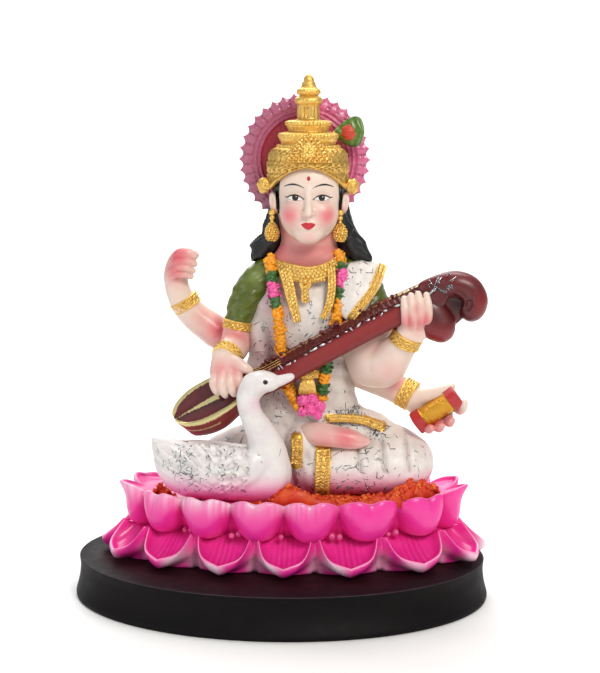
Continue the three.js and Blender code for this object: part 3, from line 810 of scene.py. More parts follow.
def upper_petals():
    """Cupped petals round the seat, side by side, each with a soft heart-shaped rim."""
    rows = [
        [13, 13, 12.2, 13.2, 2, 2, 1],
        [7.4, 12.4, 12.8, 14.4, 2.2, 2.2, 0.7],
        [3.4, 11.2, 14.2, 16.4, 2.4, 2.2, 0.78],
        [1, 9.4, 17.2, 19, 2.8, 2.4, 0.86],
        [0, 7.6, 21.6, 22.6, 3.2, 2.6, 0.94],
        [0, 6.4, 26, 25.6, 3.6, 2.8, 1],
        [0.5, 6, 29.6, 27.6, 3.8, 3, 1],
        [1.2, 6.4, 31.6, 28.6, 3.8, 3, 1],
        [2, 6.8, 32.2, 28.9, 3.8, 3, 1],
        [2.9, 7.4, 31.8, 28.8, 3.6, 3, 1],
        [3.8, 8.2, 30.2, 28.4, 3.2, 3, 1],
        [6, 9.6, 28.8, 28.2, 2, 2, 1],
        [13, 14, 28.2, 28.2, 2, 2, 1],
        [36, 36, 28.4, 28.4, 2, 2, 1],
    ]
    rim_at = 8 / 13

    def shaped(across, rise, end):
        high = ramp(rise, 0.34, 0.58) * (1 - ramp(rise, 0.74, 0.82))
        ending = ramp(end, 0.86, 1.0)
        tip = (1 - np.abs(across)) ** 1.3
        crease = hump(across, 0.18) * ramp(rise, 0.24, 0.52) * (1 - ramp(rise, 0.66, 0.76))
        back = 0.8 * crease * (1 - ending) - 5.0 * ending * tip * high
        dip = -1.8 * hump(across, 0.26) * (1 - ending)
        return back, (dip + 1.6 * ending * tip) * high

    shape, across, rise, number = petal_tier(74, 36, 16, 0.36, rows, 0.0, shaped)
    deep = hollows(*shape, 4)
    x = shape[0][:, 0]
    side = np.abs(across)
    streak = seeded.random((16, 25))[number, ((across + 1) * 12).astype(int)]
    lobes = seeded.uniform(0.5, 1.0, 16)[number]
    washed = 0.02 + 0.98 * ramp(x, 40, -20) * lobes
    outside = 1 - ramp(rise, rim_at + 0.02, rim_at + 0.1)
    valley = ramp(side, 0.9, 1.0) * ramp(rise, 0.5, 0.2)
    piece("lotus_upper_petals", shape, pink_lacquer, "lotus", {
        # Painted shade: deep pink at the petals' feet, in the valleys between them and in the hollows
        "root": np.clip(0.9 * ramp(rise, 0.2, 0.04) + 0.6 * valley, 0, 1),
        "hollow": np.clip(deep * 1.3, 0, 0.6),
        "rim": 0.5 * hump(rise - rim_at, 0.03),
        "wash": np.clip(1.3 * washed * ramp(rise, 0.3, 0.56) * outside * (0.35 + 0.65 * streak), 0, 1),
    })


def joint_beads():
    """Small balls of resin where the two tiers meet."""
    shares = np.concatenate([(np.arange(16) + 0.86 + push) / 16 for push in (-0.06, 0.08)])
    keep = seeded.random(len(shares)) < 0.7
    places, _ = oval_places(67.5, 29.5, spread(shares[keep]) - 0.25)
    rows = [(LOTUS_X + x, y, LOTUS_FOOT + 15.6 + seeded.uniform(-0.4, 0.8), seeded.uniform(1.1, 1.6))
            for x, y in places]
    # The beads take the deep pink painted shade between the tiers
    masks = {"root": 0.5, "hollow": 0, "rim": 0.1, "wash": 0}
    piece("lotus_beads", beads(rows), pink_lacquer, "lotus", masks)


# Heaps of crumbs on the seat: x, y, reach and height
HEAPS = [(3, -26, 6, 6.4), (11, -27, 8, 3.0), (27, -26, 14, 2.4), (45, -24, 9, 3.2), (51, -21, 3.2, 4.0),
        (55.8, -18.8, 3.4, 7.8), (60.6, -15.6, 3.6, 7.4), (64.8, -11, 4.2, 5.4), (-52, -13, 4, 5.4)]
SEAT_SHIFT = 1.5  # the crumbs lie a little to the right of the lotus's middle
SEAT_HALF = (62.0, 28.0)


def seat_edge(turn):
    """The edge of the crumbs: an oval with full corners."""
    return [half * np.sign(wave) * np.abs(wave) ** 0.72
            for half, wave in zip(SEAT_HALF, (np.cos(turn), np.sin(turn)))]


def crumb_level(x, y):
    level = SEAT + 0.7 - 1.6 * ramp(x, -14, -24)
    for heap_x, heap_y, reach, height in HEAPS:
        level = level + height * np.exp(-((x - heap_x) ** 2 + (y - heap_y) ** 2 * 1.6) / reach ** 2)
    return level


def crumbs():
    """Coral grit of tinted resin, heaped on the seat round the skirt as one rough mass."""
    rows, sides = ((44, 260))
    shares = np.linspace(1, 0.3, rows)[:, None]
    turn = turns(sides)
    middle = LOTUS_X + SEAT_SHIFT
    x, y = (shares * half for half in seat_edge(turn))
    x = x + middle
    level = crumb_level(x, y)
    tall = np.clip(level - SEAT, 0, 5)
    lumps = np.zeros_like(x)
    for pitch, share in ((3.4, 0.7), (1.9, 0.5), (1.1, 0.35)):
        swirl = np.sin(x / pitch + 2 * np.sin(y / pitch))
        lumps += share * np.abs(swirl * np.sin(y / pitch * 1.3 + x * 0.21))
    z = level + (lumps - 0.6) * (0.8 + 0.24 * tall) + seeded.uniform(-0.6, 0.6, x.shape)
    z[0] = SEAT - 0.6
    shapes = [loops(np.stack([x, y, z], -1))]
    tones, shades = [seeded.random(x.size) ** 3 * 0.5], [hollow_mask(shapes[0], 1.6, 3)]
    points, faces = SMALL_BEAD
    for k in range(1000):
        reach, angle = seeded.random() ** 0.3, seeded.uniform(0, math.tau)
        x, y = (reach * float(half) for half in seat_edge(angle))
        x += middle
        if k % 3 == 0:  # a third of the crumbs lie on the heaps
            heap_x, heap_y, heap_reach, _ = HEAPS[k // 3 % len(HEAPS)]
            x = heap_x + seeded.normal() * heap_reach * 0.5
            y = heap_y + abs(seeded.normal()) * heap_reach * 0.4
        size = seeded.uniform(0.4, 1.7)
        lumpy = points * seeded.uniform(0.5, 1.4, (len(points), 1)) * (size, size * 0.8, size * 0.6)
        turned = lumpy @ np.array(Euler(seeded.uniform(0, 6, 3)).to_matrix()).T
        level = float(crumb_level(x, y)) + seeded.uniform(-0.3, 0.5)
        shapes.append((turned + (x, y, level), faces))
        tones.append(np.full(len(points), seeded.random() ** 2.5))
        shades.append(np.zeros(len(points)))
    piece("seat_crumbs", together(shapes), crumb_resin, "lotus", {
        "tone": np.concatenate(tones), "hollow": np.concatenate(shades)})


lower_petals()
upper_petals()
joint_beads()
crumbs()


# Body and clothes of the figure

def torso():
    """The blouse and the waist cloth, one soft body from lap to shoulders."""
    clay = Clay((-22, -12, 56), (44, 27, 150), 1.0)

    def folds(x, y, z):
        sweep = np.sin((x * 0.5 + z * 0.35) + 1.5 * np.sin(z * 0.09)) * 0.35
        waist = hump(z - 98, 12) * np.sin(z * 0.9 + 0.2 * x) * 0.4
        return sweep * ramp(z, 76, 90) * ramp(z, 146, 138) + waist

    clay.add(column([
        [11, 7, 56, 31, 19], [11, 7, 70, 27, 17], [11.5, 7, 80, 23, 15], [11.5, 7, 91, 20.5, 13.5],
        [10.5, 6, 104, 18.5, 13], [9.5, 4.5, 117, 19, 14.5], [9.7, 4.5, 128, 20.5, 14.5],
        [10.2, 6, 138, 21.5, 11.5], [10.6, 6.5, 144, 18, 9], [10.6, 6.4, 147, 12, 8],
    ]), 0, relief=folds)
    clay.limb([[-3, 5.5, 134, 7.4], [-6.4, 4.6, 125, 7.4], [-8.6, 3.4, 114, 6.7], [-8.9, 3, 103, 6.5],
        [-7, 4.4, 90, 8], [-5, 5, 80, 9]], 2, 0.6, folds)
    shape = clay.fired()
    points = shape[0]
    piece("blouse", shape, white_cloth, "figure", {
        # Painted shade in the folds, darker further down toward the waist
        "hollow": np.clip(hollow_mask(shape, 1.4) + 0.34 * ramp(points[:, 2], 142, 112), 0, 1),
        "rose": spots(points, [(-6, -8, 108, 9, 0.35), (-4, -6, 132, 8, 0.4), (4, -10, 96, 12, 0.2)]),
        "border": -1,
        "tarnish": 0,
    })
    dense = spots(points, [(-1, -10, 112, 9, 1.0), (22, -8, 128, 10, 0.8), (14, -10, 118, 9, 0.7)])
    facing = (points[:, 1] < -1) * (points[:, 2] > 84)
    glitter("blouse_glitter", shape, "figure", 200, (0.16 + dense) * facing)


FRONT_BANDS = [
    [(6.8, 73.2), (7, 68), (6.7, 62)],
    [(18.3, 68.6), (18.2, 60), (17.9, 49.4)],
]
BELT = [(20.4, 80.6), (28, 80.2), (36, 78.8), (43.6, 76.4)]


def foil_grain(points):
    """A restless 0 to 1 pattern of short threads, as crumpled foil shows."""
    x, y, z = points.T
    crossed = np.sin(x * 5.2 + 2.2 * np.sin(z * 1.9)) * np.sin(z * 4.4 + 2 * np.sin(x * 2.3 + y))
    return 0.5 + 0.5 * crossed


def skirt():
    """The seated skirt: two folded legs, hanging front folds and fanned pleats at the left."""
    clay = Clay((-39, -22, 45), (76, 33, 90), 0.95)

    def creases(x, y, z):
        return 0.3 * np.sin(x * 0.55 + z * 0.25) * np.sin(z * 0.3 + 1)

    def pleats(x, y, z):
        pitch = 10.4
        fan = (x - 32.9 - 0.1 * (70 - z) - 0.006 * (z - 67) ** 2) / pitch
        apart = (fan - np.round(fan)) * pitch
        groove = hump(apart, 0.9) * ramp(z, 58, 61)
        fold = hump(apart - 2.4, 1.1) * ramp(z, 58, 62)
        upright = (0.7 * fold - 2.0 * groove) * ramp(z, 75.5, 71) * ramp(x, 28, 31) * ramp(x, 61, 57.5)
        level = z - 74.6 + 0.009 * (x - 46) ** 2
        crease = 1.6 * hump(level, 0.8) * ramp(x, 38, 41) * ramp(x, 56, 52)
        return (upright - crease) * ramp(y, 2, -8)

    knee = limb([[36, 6, 68.5, 12.5], [48, 1, 63.6, 12], [55, -1.5, 61.4, 11]])
    clay.add(knee + limb([[20, 9, 68, 14], [36, 6, 68.5, 12.5]]), 0, 1, creases)
    clay.limb([[2, 10, 67, 14], [-14, 7, 63.5, 11.5], [-26, 5, 60, 10]], 3, 0.5, creases)
    clay.limb([[-28, 3.5, 55, 9], [-12, 2, 53, 9], [4, -1.5, 53, 8.5]], 2, 0.5, creases)
    clay.limb([[12, 12, 56, 18], [12, 12, 64, 18]], 3)
    clay.limb([[15, -9.8, 57, 8.5, 8.5], [23, -9.3, 58.2, 10.6, 11], [34, -8.6, 58.8, 11.3, 11.6],
        [44, -8, 59, 11.8, 12], [52, -7.4, 59.8, 11.6, 11.8], [56.2, -7, 60.8, 10, 9.8]],
            2.5, 0.5, pleats)

    def front_folds(x, y, z):
        lean = x - 8 - 0.3 * (70 - z)
        return 0.5 * np.cos(lean * 1.3) * ramp(y, 2, -6)

    def raised_bands(x, y, z):
        raised = 0
        for line, half in ((FRONT_BANDS[0], 2.8), (FRONT_BANDS[1], 3.6), (BELT, 2.0)):
            flat = np.stack(np.broadcast_arrays(x, 0 * x, z), -1).reshape(-1, 3)
            away = from_line(flat, line).reshape(np.broadcast(x, z).shape)
            raised = np.maximum(raised, ramp(away, half, half - 0.8))
        return raised * (0.45 + 0.3 * (0.5 + 0.5 * np.sin(x * 4 + 2 * np.sin(z * 2)))) * ramp(y, 2, 0)

    clay.add(column([[17, -5, 44, 15, 7], [17, -7, 54, 15, 9], [16, -6.5, 64, 14, 9],
        [15, -4, 72, 11, 7]]), 2, 0, front_folds)
    clay.add(ball((8.2, -10.4, 70.8), (5.8, 5, 6)), 5)
    clay.add(column([[11, 7, 60, 30, 18.6], [11, 7, 70, 27.4, 17.4], [11.5, 7, 78, 23.8, 15.6],
        [11.5, 7, 83.4, 22.4, 14.8]]), 1.5, 0.4, creases)
    clay.limb([[14, 2, 76, 9], [30, 4, 75.6, 7.4], [40, 5, 73.4, 6.2]], 4, 0.5)
    clay.raise_by(raised_bands)
    clay.trim_below(SEAT + 0.2)
    shape = clay.fired()
    points = shape[0]
    ahead = np.where(points[:, 1] < 4, 0, -5)
    ragged = foil_grain(points)
    borders = np.maximum.reduce([2.5 - from_line(points, FRONT_BANDS[0]),
            3.3 - from_line(points, FRONT_BANDS[1]),
            1.8 - from_line(points, BELT)]) + ahead
    piece("skirt", shape, white_cloth, "figure", {
        "hollow": hollow_mask(shape, 1.5, 4),
        "rose": np.clip(ramp(points[:, 2], 63, 50) * 0.95 + 0.08 * (ragged - 0.3), 0, 1),
        "border": borders + 0.4 * (ragged - 0.4),
        "tarnish": ramp(ragged, 0.45, 0.2) * 0.9 * (borders > -0.3),
    })
    bands = [
        ribbon(laid_on(points, FRONT_BANDS[0], 2.3, 0.4, 0.1), 1.7, 0.45, FRONT, 8, threads),
        ribbon(laid_on(points, FRONT_BANDS[1], 3.2, 0.4, 0.1), 1.9, 0.5, FRONT, 8, threads),
        ribbon(laid_on(points, BELT, 1.8, 0.3, 0.35), 1.4, 0.4, (0, -0.75, 0.66), 8, threads),
    ]
    gold_piece("foil_bands", together(bands))
    dense = spots(points, [(28, -4, 83, 7, 2.6), (24, -10, 78, 8, 0.8), (40, -8, 75, 6, 1.6),
        (34, -19, 52, 9, 0.5), (-10, -2, 78, 9, 0.5), (40, -16, 68, 4, 0.9), (30, -18, 54, 4, 1)])
    facing = outward(*shape)[:, 1] < -0.35
    glitter("skirt_glitter", shape, "figure", 520, (0.1 + dense) * facing * (points[:, 2] > 50))


def sleeves():
    """Green sleeves with soft creases, the left one mostly under the shoulder cloth."""
    right = Clay((-28, -9, 110), (8, 18, 150), 0.7)

    def creases(x, y, z):
        return 0.3 * np.sin(z * 0.8 + x * 0.3) * np.sin(x * 0.5 + 1) + 0.2 * np.sin(z * 1.7 - x)

    right.limb([[-1, 7, 140.6, 8.4, 8], [-7, 6, 139.8, 8.4, 8], [-12.6, 4, 136, 7.3],
        [-16.4, 2.2, 130.6, 6.4], [-18.6, 1.2, 125.4, 5.6], [-19.7, 0.8, 121.4, 5.1],
        [-20, 0.6, 119, 4.9]], 0, 1, creases)
    shape = right.fired()
    # A painted highlight on top of the right shoulder
    shoulder_highlight = spots(shape[0], [(-12, -4, 143, 4, 0.5), (-7, -3, 146, 4, 0.35)])
    piece("right_sleeve", shape, green_cloth, "figure", {"hollow": hollow_mask(shape, 1.5), "shoulder_highlight": shoulder_highlight})
    left = Clay((20, -12, 108), (52, 20, 152), 0.75)
    left.limb([[27, 8, 140, 8.4], [35, 6, 134, 8.6], [38.6, 3, 124, 8.4], [39.6, 1, 117, 8]],
            0, 1, creases)
    shape = left.fired()
    piece("left_sleeve", shape, green_cloth, "figure", {"hollow": hollow_mask(shape, 1.5), "shoulder_highlight": 0})


def shoulder_cloth():
    """The end of the sari over the left shoulder, with a gold border."""
    clay = Clay((20, -16, 112), (50, 26, 152), 0.7)

    def folds(x, y, z):
        return 0.2 * np.cos((x - 0.25 * (z - 128)) * 1.1) + 0.12 * np.sin(z * 0.5)

    clay.limb([[29.5, -10, 126, 4.4, 2.4], [31, -9.2, 132, 6, 2.8], [33.4, -6, 138.5, 7.6, 3],
        [35, 0, 143.8, 8.4, 3], [34, 7, 144.6, 8.6, 3]], 0, 1, folds, flat=(0.15, -0.8, 0.6))
    clay.limb([[33.2, 1, 143.2, 7.8, 2.6], [32.8, 8, 143.4, 8.2, 3], [31, 14.6, 138, 8, 3],
        [27, 18, 122, 8, 2.6], [24, 18.5, 114, 7, 2.2]], 1.5, 1, folds, flat=(0, 0.6, 0.8))
    shape = clay.fired()
    points = shape[0]
    ragged = foil_grain(points)
    border = [(43, 146.4), (41.0, 142), (38.4, 136.4), (33.2, 130), (29.6, 125.6)]
    edge = np.where(points[:, 1] < 3, 1.6 - from_line(points, border), -3)
    piece("shoulder_cloth", shape, white_cloth, "figure", {
        "hollow": hollow_mask(shape, 1.4),
        "rose": 0,
        "border": edge + 0.7 * (ragged - 0.4),
        "tarnish": ramp(ragged, 0.45, 0.2) * 0.9 * (edge > -0.3),
    })
    fringe = ribbon(laid_on(points, border, 1.9, 0.4), 1.5, 0.45, (0.2, -0.8, 0.5), 10, threads)
    gold_piece("shoulder_fringe", fringe)
    glitter("shoulder_glitter", shape, "figure", 110, points[:, 1] < 4)


def band(start, end, radius, lift=0.0):
    """A cuff or bangle: a wide soft ring round a limb, cast with scrolls between two cords."""
    start, end = np.array(start, float), np.array(end, float)
    along = unit(end - start)
    side = unit(np.cross(along, (0.3, 0.9, 0.1)))
    over = np.cross(along, side)
    middle = (start + end) / 2
    width = np.linalg.norm(end - start) / 2
    sides = 120
    turn = turns(sides)
    circle = np.cos(turn)[:, None] * side + np.sin(turn)[:, None] * over
    rings = []
    pushes = [-1, -1] + list(np.linspace(-0.98, 0.98, 25)) + [1, 1]
    for row, push in enumerate(pushes):
        edge = min(row, len(pushes) - 1 - row)
        cord = 0.35 * hump(abs(push) - 0.82, 0.12) * (1 + 0.35 * np.cos(turn * 40))
        scroll = 0.3 * curls(turn * radius, push * width * 1.6, 2.6) * (abs(push) < 0.68)
        rise = -1.8 if edge == 0 else -0.4 if edge == 1 else 0.15 + cord + scroll
        rings.append(middle + along * (push * width) + circle * np.reshape(radius + rise + lift, (-1, 1)))
    return loops(rings)


def gold_piece(name, shape, rounds=3, gain=2.4):
    # Painted shade in the hollows of the gold
    piece(name, shape, gold_paint, "figure", {"hollow": hollow_mask(shape, gain, rounds, 0.9)})


def bangles():
    gold_piece("sleeve_cuff", band((-19.5, 0.8, 121.6), (-20.2, 0.5, 117.8), 6.0))
    gold_piece("bangles", together([
        band((-22.4, -11.2, 109.8), (-23.9, -14.4, 107.8), 6.0),
        band((-42.2, 11.3, 125.6), (-44.7, 10.9, 129.7), 6.2),
        band((51.9, -12.0, 114.4), (54.0, -13.4, 118.9), 6.5),
        band((52.0, 3.9, 90.9), (57.2, 2.2, 88.3), 6.4),
    ]))


def skin_piece(name, clay, blush_and_shade):
    shape = clay.fired()
    # Painted shade in the hollows, and rose at the listed places
    piece(name, shape, skin_enamel, "figure", {
        "hollow": hollow_mask(shape, 1.1, 3, 0.7),
        "blush_and_shade": spots(shape[0], blush_and_shade),
    })


def add_fingers(clay, fingers, blend=0.3):
    for finger in fingers:
        clay.limb(finger, blend, 0.15)


def right_front_arm():
    """Forearm toward the front, the hand resting on the soundboard."""
    clay = Clay((-33, -26, 88), (-9, 8, 124), 0.56)
    clay.limb([[-20, 0.4, 120, 4.7], [-20.4, 0, 116, 5.3], [-20.6, -3, 111, 6], [-22, -9, 109.6, 5.7],
        [-24, -13.6, 108, 5]], 0, 1)
    clay.limb([[-24, -14.5, 107.5, 5.8, 4.4], [-23.2, -18, 103, 7, 4], [-22.8, -19, 100.5, 6.6, 3.2]],
            1.5, 0.6)
    add_fingers(clay, [
        [[-27.4, -19.6, 102, 2], [-28.2, -22.2, 98.4, 1.95], [-27.4, -22, 95.4, 1.7],
         [-26.6, -20.4, 93.8, 1.4]],
        [[-24.6, -20.4, 103, 2.1], [-24.8, -23.2, 98.6, 2], [-24, -23, 94.8, 1.75],
         [-23.4, -21, 92.8, 1.4]],
        [[-21.4, -20.4, 103, 2.1], [-21, -23.2, 98.8, 2], [-20.2, -23, 95.2, 1.75],
         [-19.6, -21, 93.4, 1.4]],
        [[-18.6, -19.6, 103, 2], [-17.6, -22, 99.6, 1.9], [-17, -22, 96.8, 1.6],
         [-16.6, -20.4, 95.4, 1.3]],
    ])
    clay.limb([[-21, -17.5, 107, 3], [-18, -19.5, 106, 2.7], [-15, -20.6, 104.6, 2.1],
        [-12.8, -20.8, 103.4, 1.4]], 1, 0.4)
    skin_piece("right_front_arm", clay, [
        (-20, -4, 114, 7, 0.95), (-25, -20, 103.4, 4.6, 0.75), (-20, -20, 103.4, 4.6, 0.7),
        (-26, -22, 98.6, 3, 0.5), (-19, -22, 98.6, 3.4, 0.45), (-15.4, -20, 104, 3, 0.3)])


def right_rear_arm():
    """The raised arm, with its fingers curled level one over the other."""
    clay = Clay((-55, -1, 103), (4, 23, 156), 0.58)
    clay.limb([[-3, 9, 136, 7.6], [-14, 12, 122, 7.6], [-25, 13, 113, 7.2], [-34.5, 12.5, 118, 6.5],
        [-41, 11.5, 123.5, 5.9], [-45, 10.8, 129, 5.3], [-46.8, 10, 134, 4.8]], 0, 1)
    clay.limb([[-47, 9.8, 134, 4.8, 4], [-47.4, 9.4, 140, 5.2, 4], [-45.6, 8.8, 146, 5, 3.6],
        [-43.6, 8.2, 149.4, 3.4, 2.8]], 1.5, 0.6)
    add_fingers(clay, [
        [[-48, 8, 146.8, 2.2], [-45.4, 5.4, 149.8, 2.4], [-42.2, 4.4, 150.4, 2.4],
         [-38.6, 4.8, 149.4, 1.9]],
        [[-49.4, 7.4, 144, 1.8], [-46, 4, 147, 1.7], [-42.4, 3.2, 147, 1.6], [-38.6, 4, 145.8, 1.4]],
        [[-49.8, 7.2, 141.4, 1.8], [-46.4, 3.6, 144, 1.6], [-42.8, 3, 144, 1.5], [-39.4, 4, 142.8, 1.35]],
        [[-49.6, 7.4, 138.8, 1.8], [-46.4, 4.2, 141, 1.6], [-43, 3.8, 141, 1.5],
         [-40.2, 4.6, 140.2, 1.3]],
    ], 0.25)
    skin_piece("right_rear_arm", clay, [
        (-27, 6, 117, 8, 1), (-34, 6, 122, 6, 0.5), (-46, 3, 149, 7, 1), (-47, 4, 143, 6, 0.9)])


def left_front_arm():
    """The bent arm in front, four fingers standing over the neck of the veena."""
    clay = Clay((24, -25, 92), (67, 14, 142), 0.58)
    clay.limb([[38.6, 3, 122, 8], [39.8, 0.6, 116, 8.4], [41.5, -3, 106, 9], [43.4, -5, 103.6, 9.2],
        [46.5, -7.4, 107, 8.2], [50.5, -10.6, 112.5, 6.4], [53.6, -13.2, 117.8, 5.4]], 0, 1)
    clay.limb([[34, 2, 121, 8], [34.6, 0.6, 111, 8.6], [36.4, -1.4, 102.5, 8]], 5, 0.6)
    clay.limb([[54.2, -13.6, 118, 5.8, 4.8], [56.2, -15, 122, 6.6, 4.2], [56.8, -15.8, 125.4, 6.4, 3.4]],
            1.5, 0.5)
    add_fingers(clay, [
        [[52.4, -17.4, 122.6, 1.8], [52.2, -20.4, 126.4, 1.8], [51.8, -20.8, 131, 1.7],
         [51.6, -18.6, 134.6, 1.4]],
        [[55.4, -18, 122.4, 1.9], [55.4, -21.2, 126.6, 1.85], [54.8, -21.6, 132, 1.75],
         [54.4, -19.4, 136, 1.45]],
        [[58.4, -18, 122.6, 1.9], [58.6, -21.2, 126.8, 1.85], [58.2, -21.6, 132.4, 1.75],
         [57.4, -19.6, 136.8, 1.45]],
        [[61.2, -17, 123.6, 1.8], [61.8, -20.2, 127.4, 1.8], [61.6, -20.8, 132.4, 1.7],
         [60.8, -19, 136.4, 1.4]],
    ])
    clay.limb([[51, -12, 119.5, 2.5], [48.6, -10.6, 122, 2.2]], 1)
    skin_piece("left_front_arm", clay, [
        (40, -6, 112, 6, 0.3), (46, -14, 102, 6, 0.3), (54, -21, 126, 4.2, 0.85),
                (59.6, -21, 126, 4.4, 0.9),
        (57, -22, 130, 3.6, 0.5), (58, -21, 122, 4, 0.5)])


def left_rear_arm():
    """The arm behind, reaching out with the palm up under the book."""
    clay = Clay((20, -16, 72), (84, 22, 144), 0.7)
    clay.limb([[27, 10, 136, 8], [29.6, 12, 118.4, 8], [31.5, 11, 102, 8], [37, 9.5, 97.5, 7.4],
        [46, 6.5, 93.4, 6.4], [53, 3.6, 90, 5.7], [57.6, 2, 88, 5.2]], 0, 1)
    clay.limb([[58, 1.4, 87, 5.4, 4], [63.5, 0.4, 84.4, 7, 3.2], [69.5, -0.6, 83.6, 6.6, 3]], 1.5, 0.5)
    add_fingers(clay, [
        [[65, -3, 80, 2.2], [63.6, -6.6, 77.4, 2.1], [63.6, -9, 76.6, 2], [64.6, -11, 77.6, 1.6]],
        [[68.6, -3, 80.4, 2.3], [67.8, -7, 77.8, 2.2], [68, -9.6, 77.4, 2.05], [69, -11.4, 78.6, 1.6]],
        [[72.2, -2, 81.6, 2.2], [72.2, -6.4, 79.6, 2.1], [72.6, -9, 79.6, 1.95], [73.4, -10.8, 81, 1.5]],
        [[75.4, -0.6, 85, 2.1], [77.2, -4, 84, 2], [78.2, -7, 85.6, 1.9], [78.8, -8.6, 88.6, 1.5]],
    ])
    clay.limb([[58, 0.2, 88.4, 3.6, 3.4], [62, -1.6, 89.6, 3.4, 3.2], [66.4, -3.4, 91, 3.2, 2.8],
        [70.6, -4.4, 93, 2.4, 2.2], [73.6, -4.6, 94.6, 1.5, 1.6]], 1, 0.4)
    skin_piece("left_rear_arm", clay, [
        (36, 3, 98, 6, 0.3), (50, 2, 94, 5, 0.8), (66, -8, 78, 7, 1), (73, -9, 81, 5, 0.8)])


def foot():
    """The left foot coming out from under the skirt, with shallow grooves between the toes."""
    clay = Clay((4, -23, 66), (42, -5, 82), 0.48)
    clay.limb([[10.4, -8, 74.6, 3.2, 3.4], [13.6, -11.4, 74.6, 4.3, 4.2], [18, -13.2, 74.5, 4.7, 4.7],
        [24, -14.4, 74, 4.2, 4.4], [29.4, -15, 73.2, 3.9, 3.8], [33.4, -15.2, 72.5, 2.8, 2.9],
        [36, -15.2, 72.2, 1.5, 1.7], [37.2, -15.1, 72.2, 0.8, 1]], 0, 1)
    for start, end in ((75.2, 73.6), (72.6, 72.0)):
        clay.cut(limb([[30.6, -19.3, start, 0.2], [33.6, -18.5, (start + end) / 2, 0.35],
            [36.8, -17.2, end, 0.25]]), 0.8)
    skin_piece("foot", clay, [(28, -19, 74.4, 8, 0.85), (34, -17, 72.6, 6, 0.5), (19, -18, 72, 8, 0.6)])


torso()
skirt()
sleeves()
shoulder_cloth()
bangles()
right_front_arm()
right_rear_arm()
left_front_arm()
left_rear_arm()
foot()


# Head

FACE_X = 11.0
EYE_LEVEL, EYE_APART, EYE_HALF = 175.6, 5.6, 3.5


def on_face(rows, signs=(1,)):
    """A limb with stations counted sideways from the face's middle, once for each sign."""
    forms = []
    for sign in signs:
        forms += limb([[FACE_X + sign * x, *rest] for x, *rest in rows])
    return forms


def past(value, limit=1.0):
    """Grows steeply outside a stretch, to end what is painted there."""
    return 3 * np.maximum(np.abs(value) - limit, 0)


def face_paint(points):
    """Signed distances, positive inside, of what is painted on the face."""
    x, y, z = points.T
    behind = np.where(y > -3, 5.0, 0.0)
    side = np.abs(x - FACE_X)
    u = (side - EYE_APART) / EYE_HALF
    tilt = 0.25 * u
    inner = np.clip(u, -1, 1)
    upper = EYE_LEVEL + 1.5 * (1 - inner ** 2) + tilt
    lower = EYE_LEVEL - 0.85 * (1 - inner ** 2) + tilt
    inside = np.minimum(upper - z, z - lower) - 4 * np.maximum(np.abs(u) - 1, 0)
    round_iris = 1.35 - np.hypot(side - EYE_APART, z - EYE_LEVEL - 0.4)
    lid = 0.38 - 0.12 * np.abs(u) - np.abs(z - upper - 0.1) - past(u - 0.08, 1.18)
    under = 0.1 - np.abs(z - lower) - past(u)
    w = (side - 6.1) / 4.3
    brow_line = 180.2 + 1.3 * (1 - (w - 0.1) ** 2)
    brow = 0.42 * (1 - 0.5 * np.abs(w - 0.1)) - np.abs(z - brow_line) - past(w)
    v = (x - FACE_X) / 3.0
    bow = 165.0 + 0.95 * (1 - np.abs(v) ** 1.5) - 0.4 * hump(v, 0.2)
    under_lip = 164.6 - 1.9 * (1 - v ** 2)
    lips = np.minimum(bow - z, z - under_lip) - past(v)
    drop = 0.75 - np.hypot(x - FACE_X, (z - 184.0) * 0.75)
    lock = 0.35 + 0.075 * (z - 170) - np.abs(side - 13.6)
    lock = lock - 3 * np.maximum(170 - z, 0) - np.where(y > 3.5, 5, 0)
    glint_x = x - FACE_X - np.sign(x - FACE_X) * EYE_APART - 0.4
    front = {
        "eye_white": inside,
        "iris": np.minimum(round_iris, inside),
        "glint": 0.28 - np.hypot(glint_x, z - EYE_LEVEL - 0.8),
        "lid": np.maximum(lid, under),
        "brow": brow,
        "lips": lips,
        "bindi": drop,
    }
    return {name: mask - behind for name, mask in front.items()} | {"sideburn": lock}


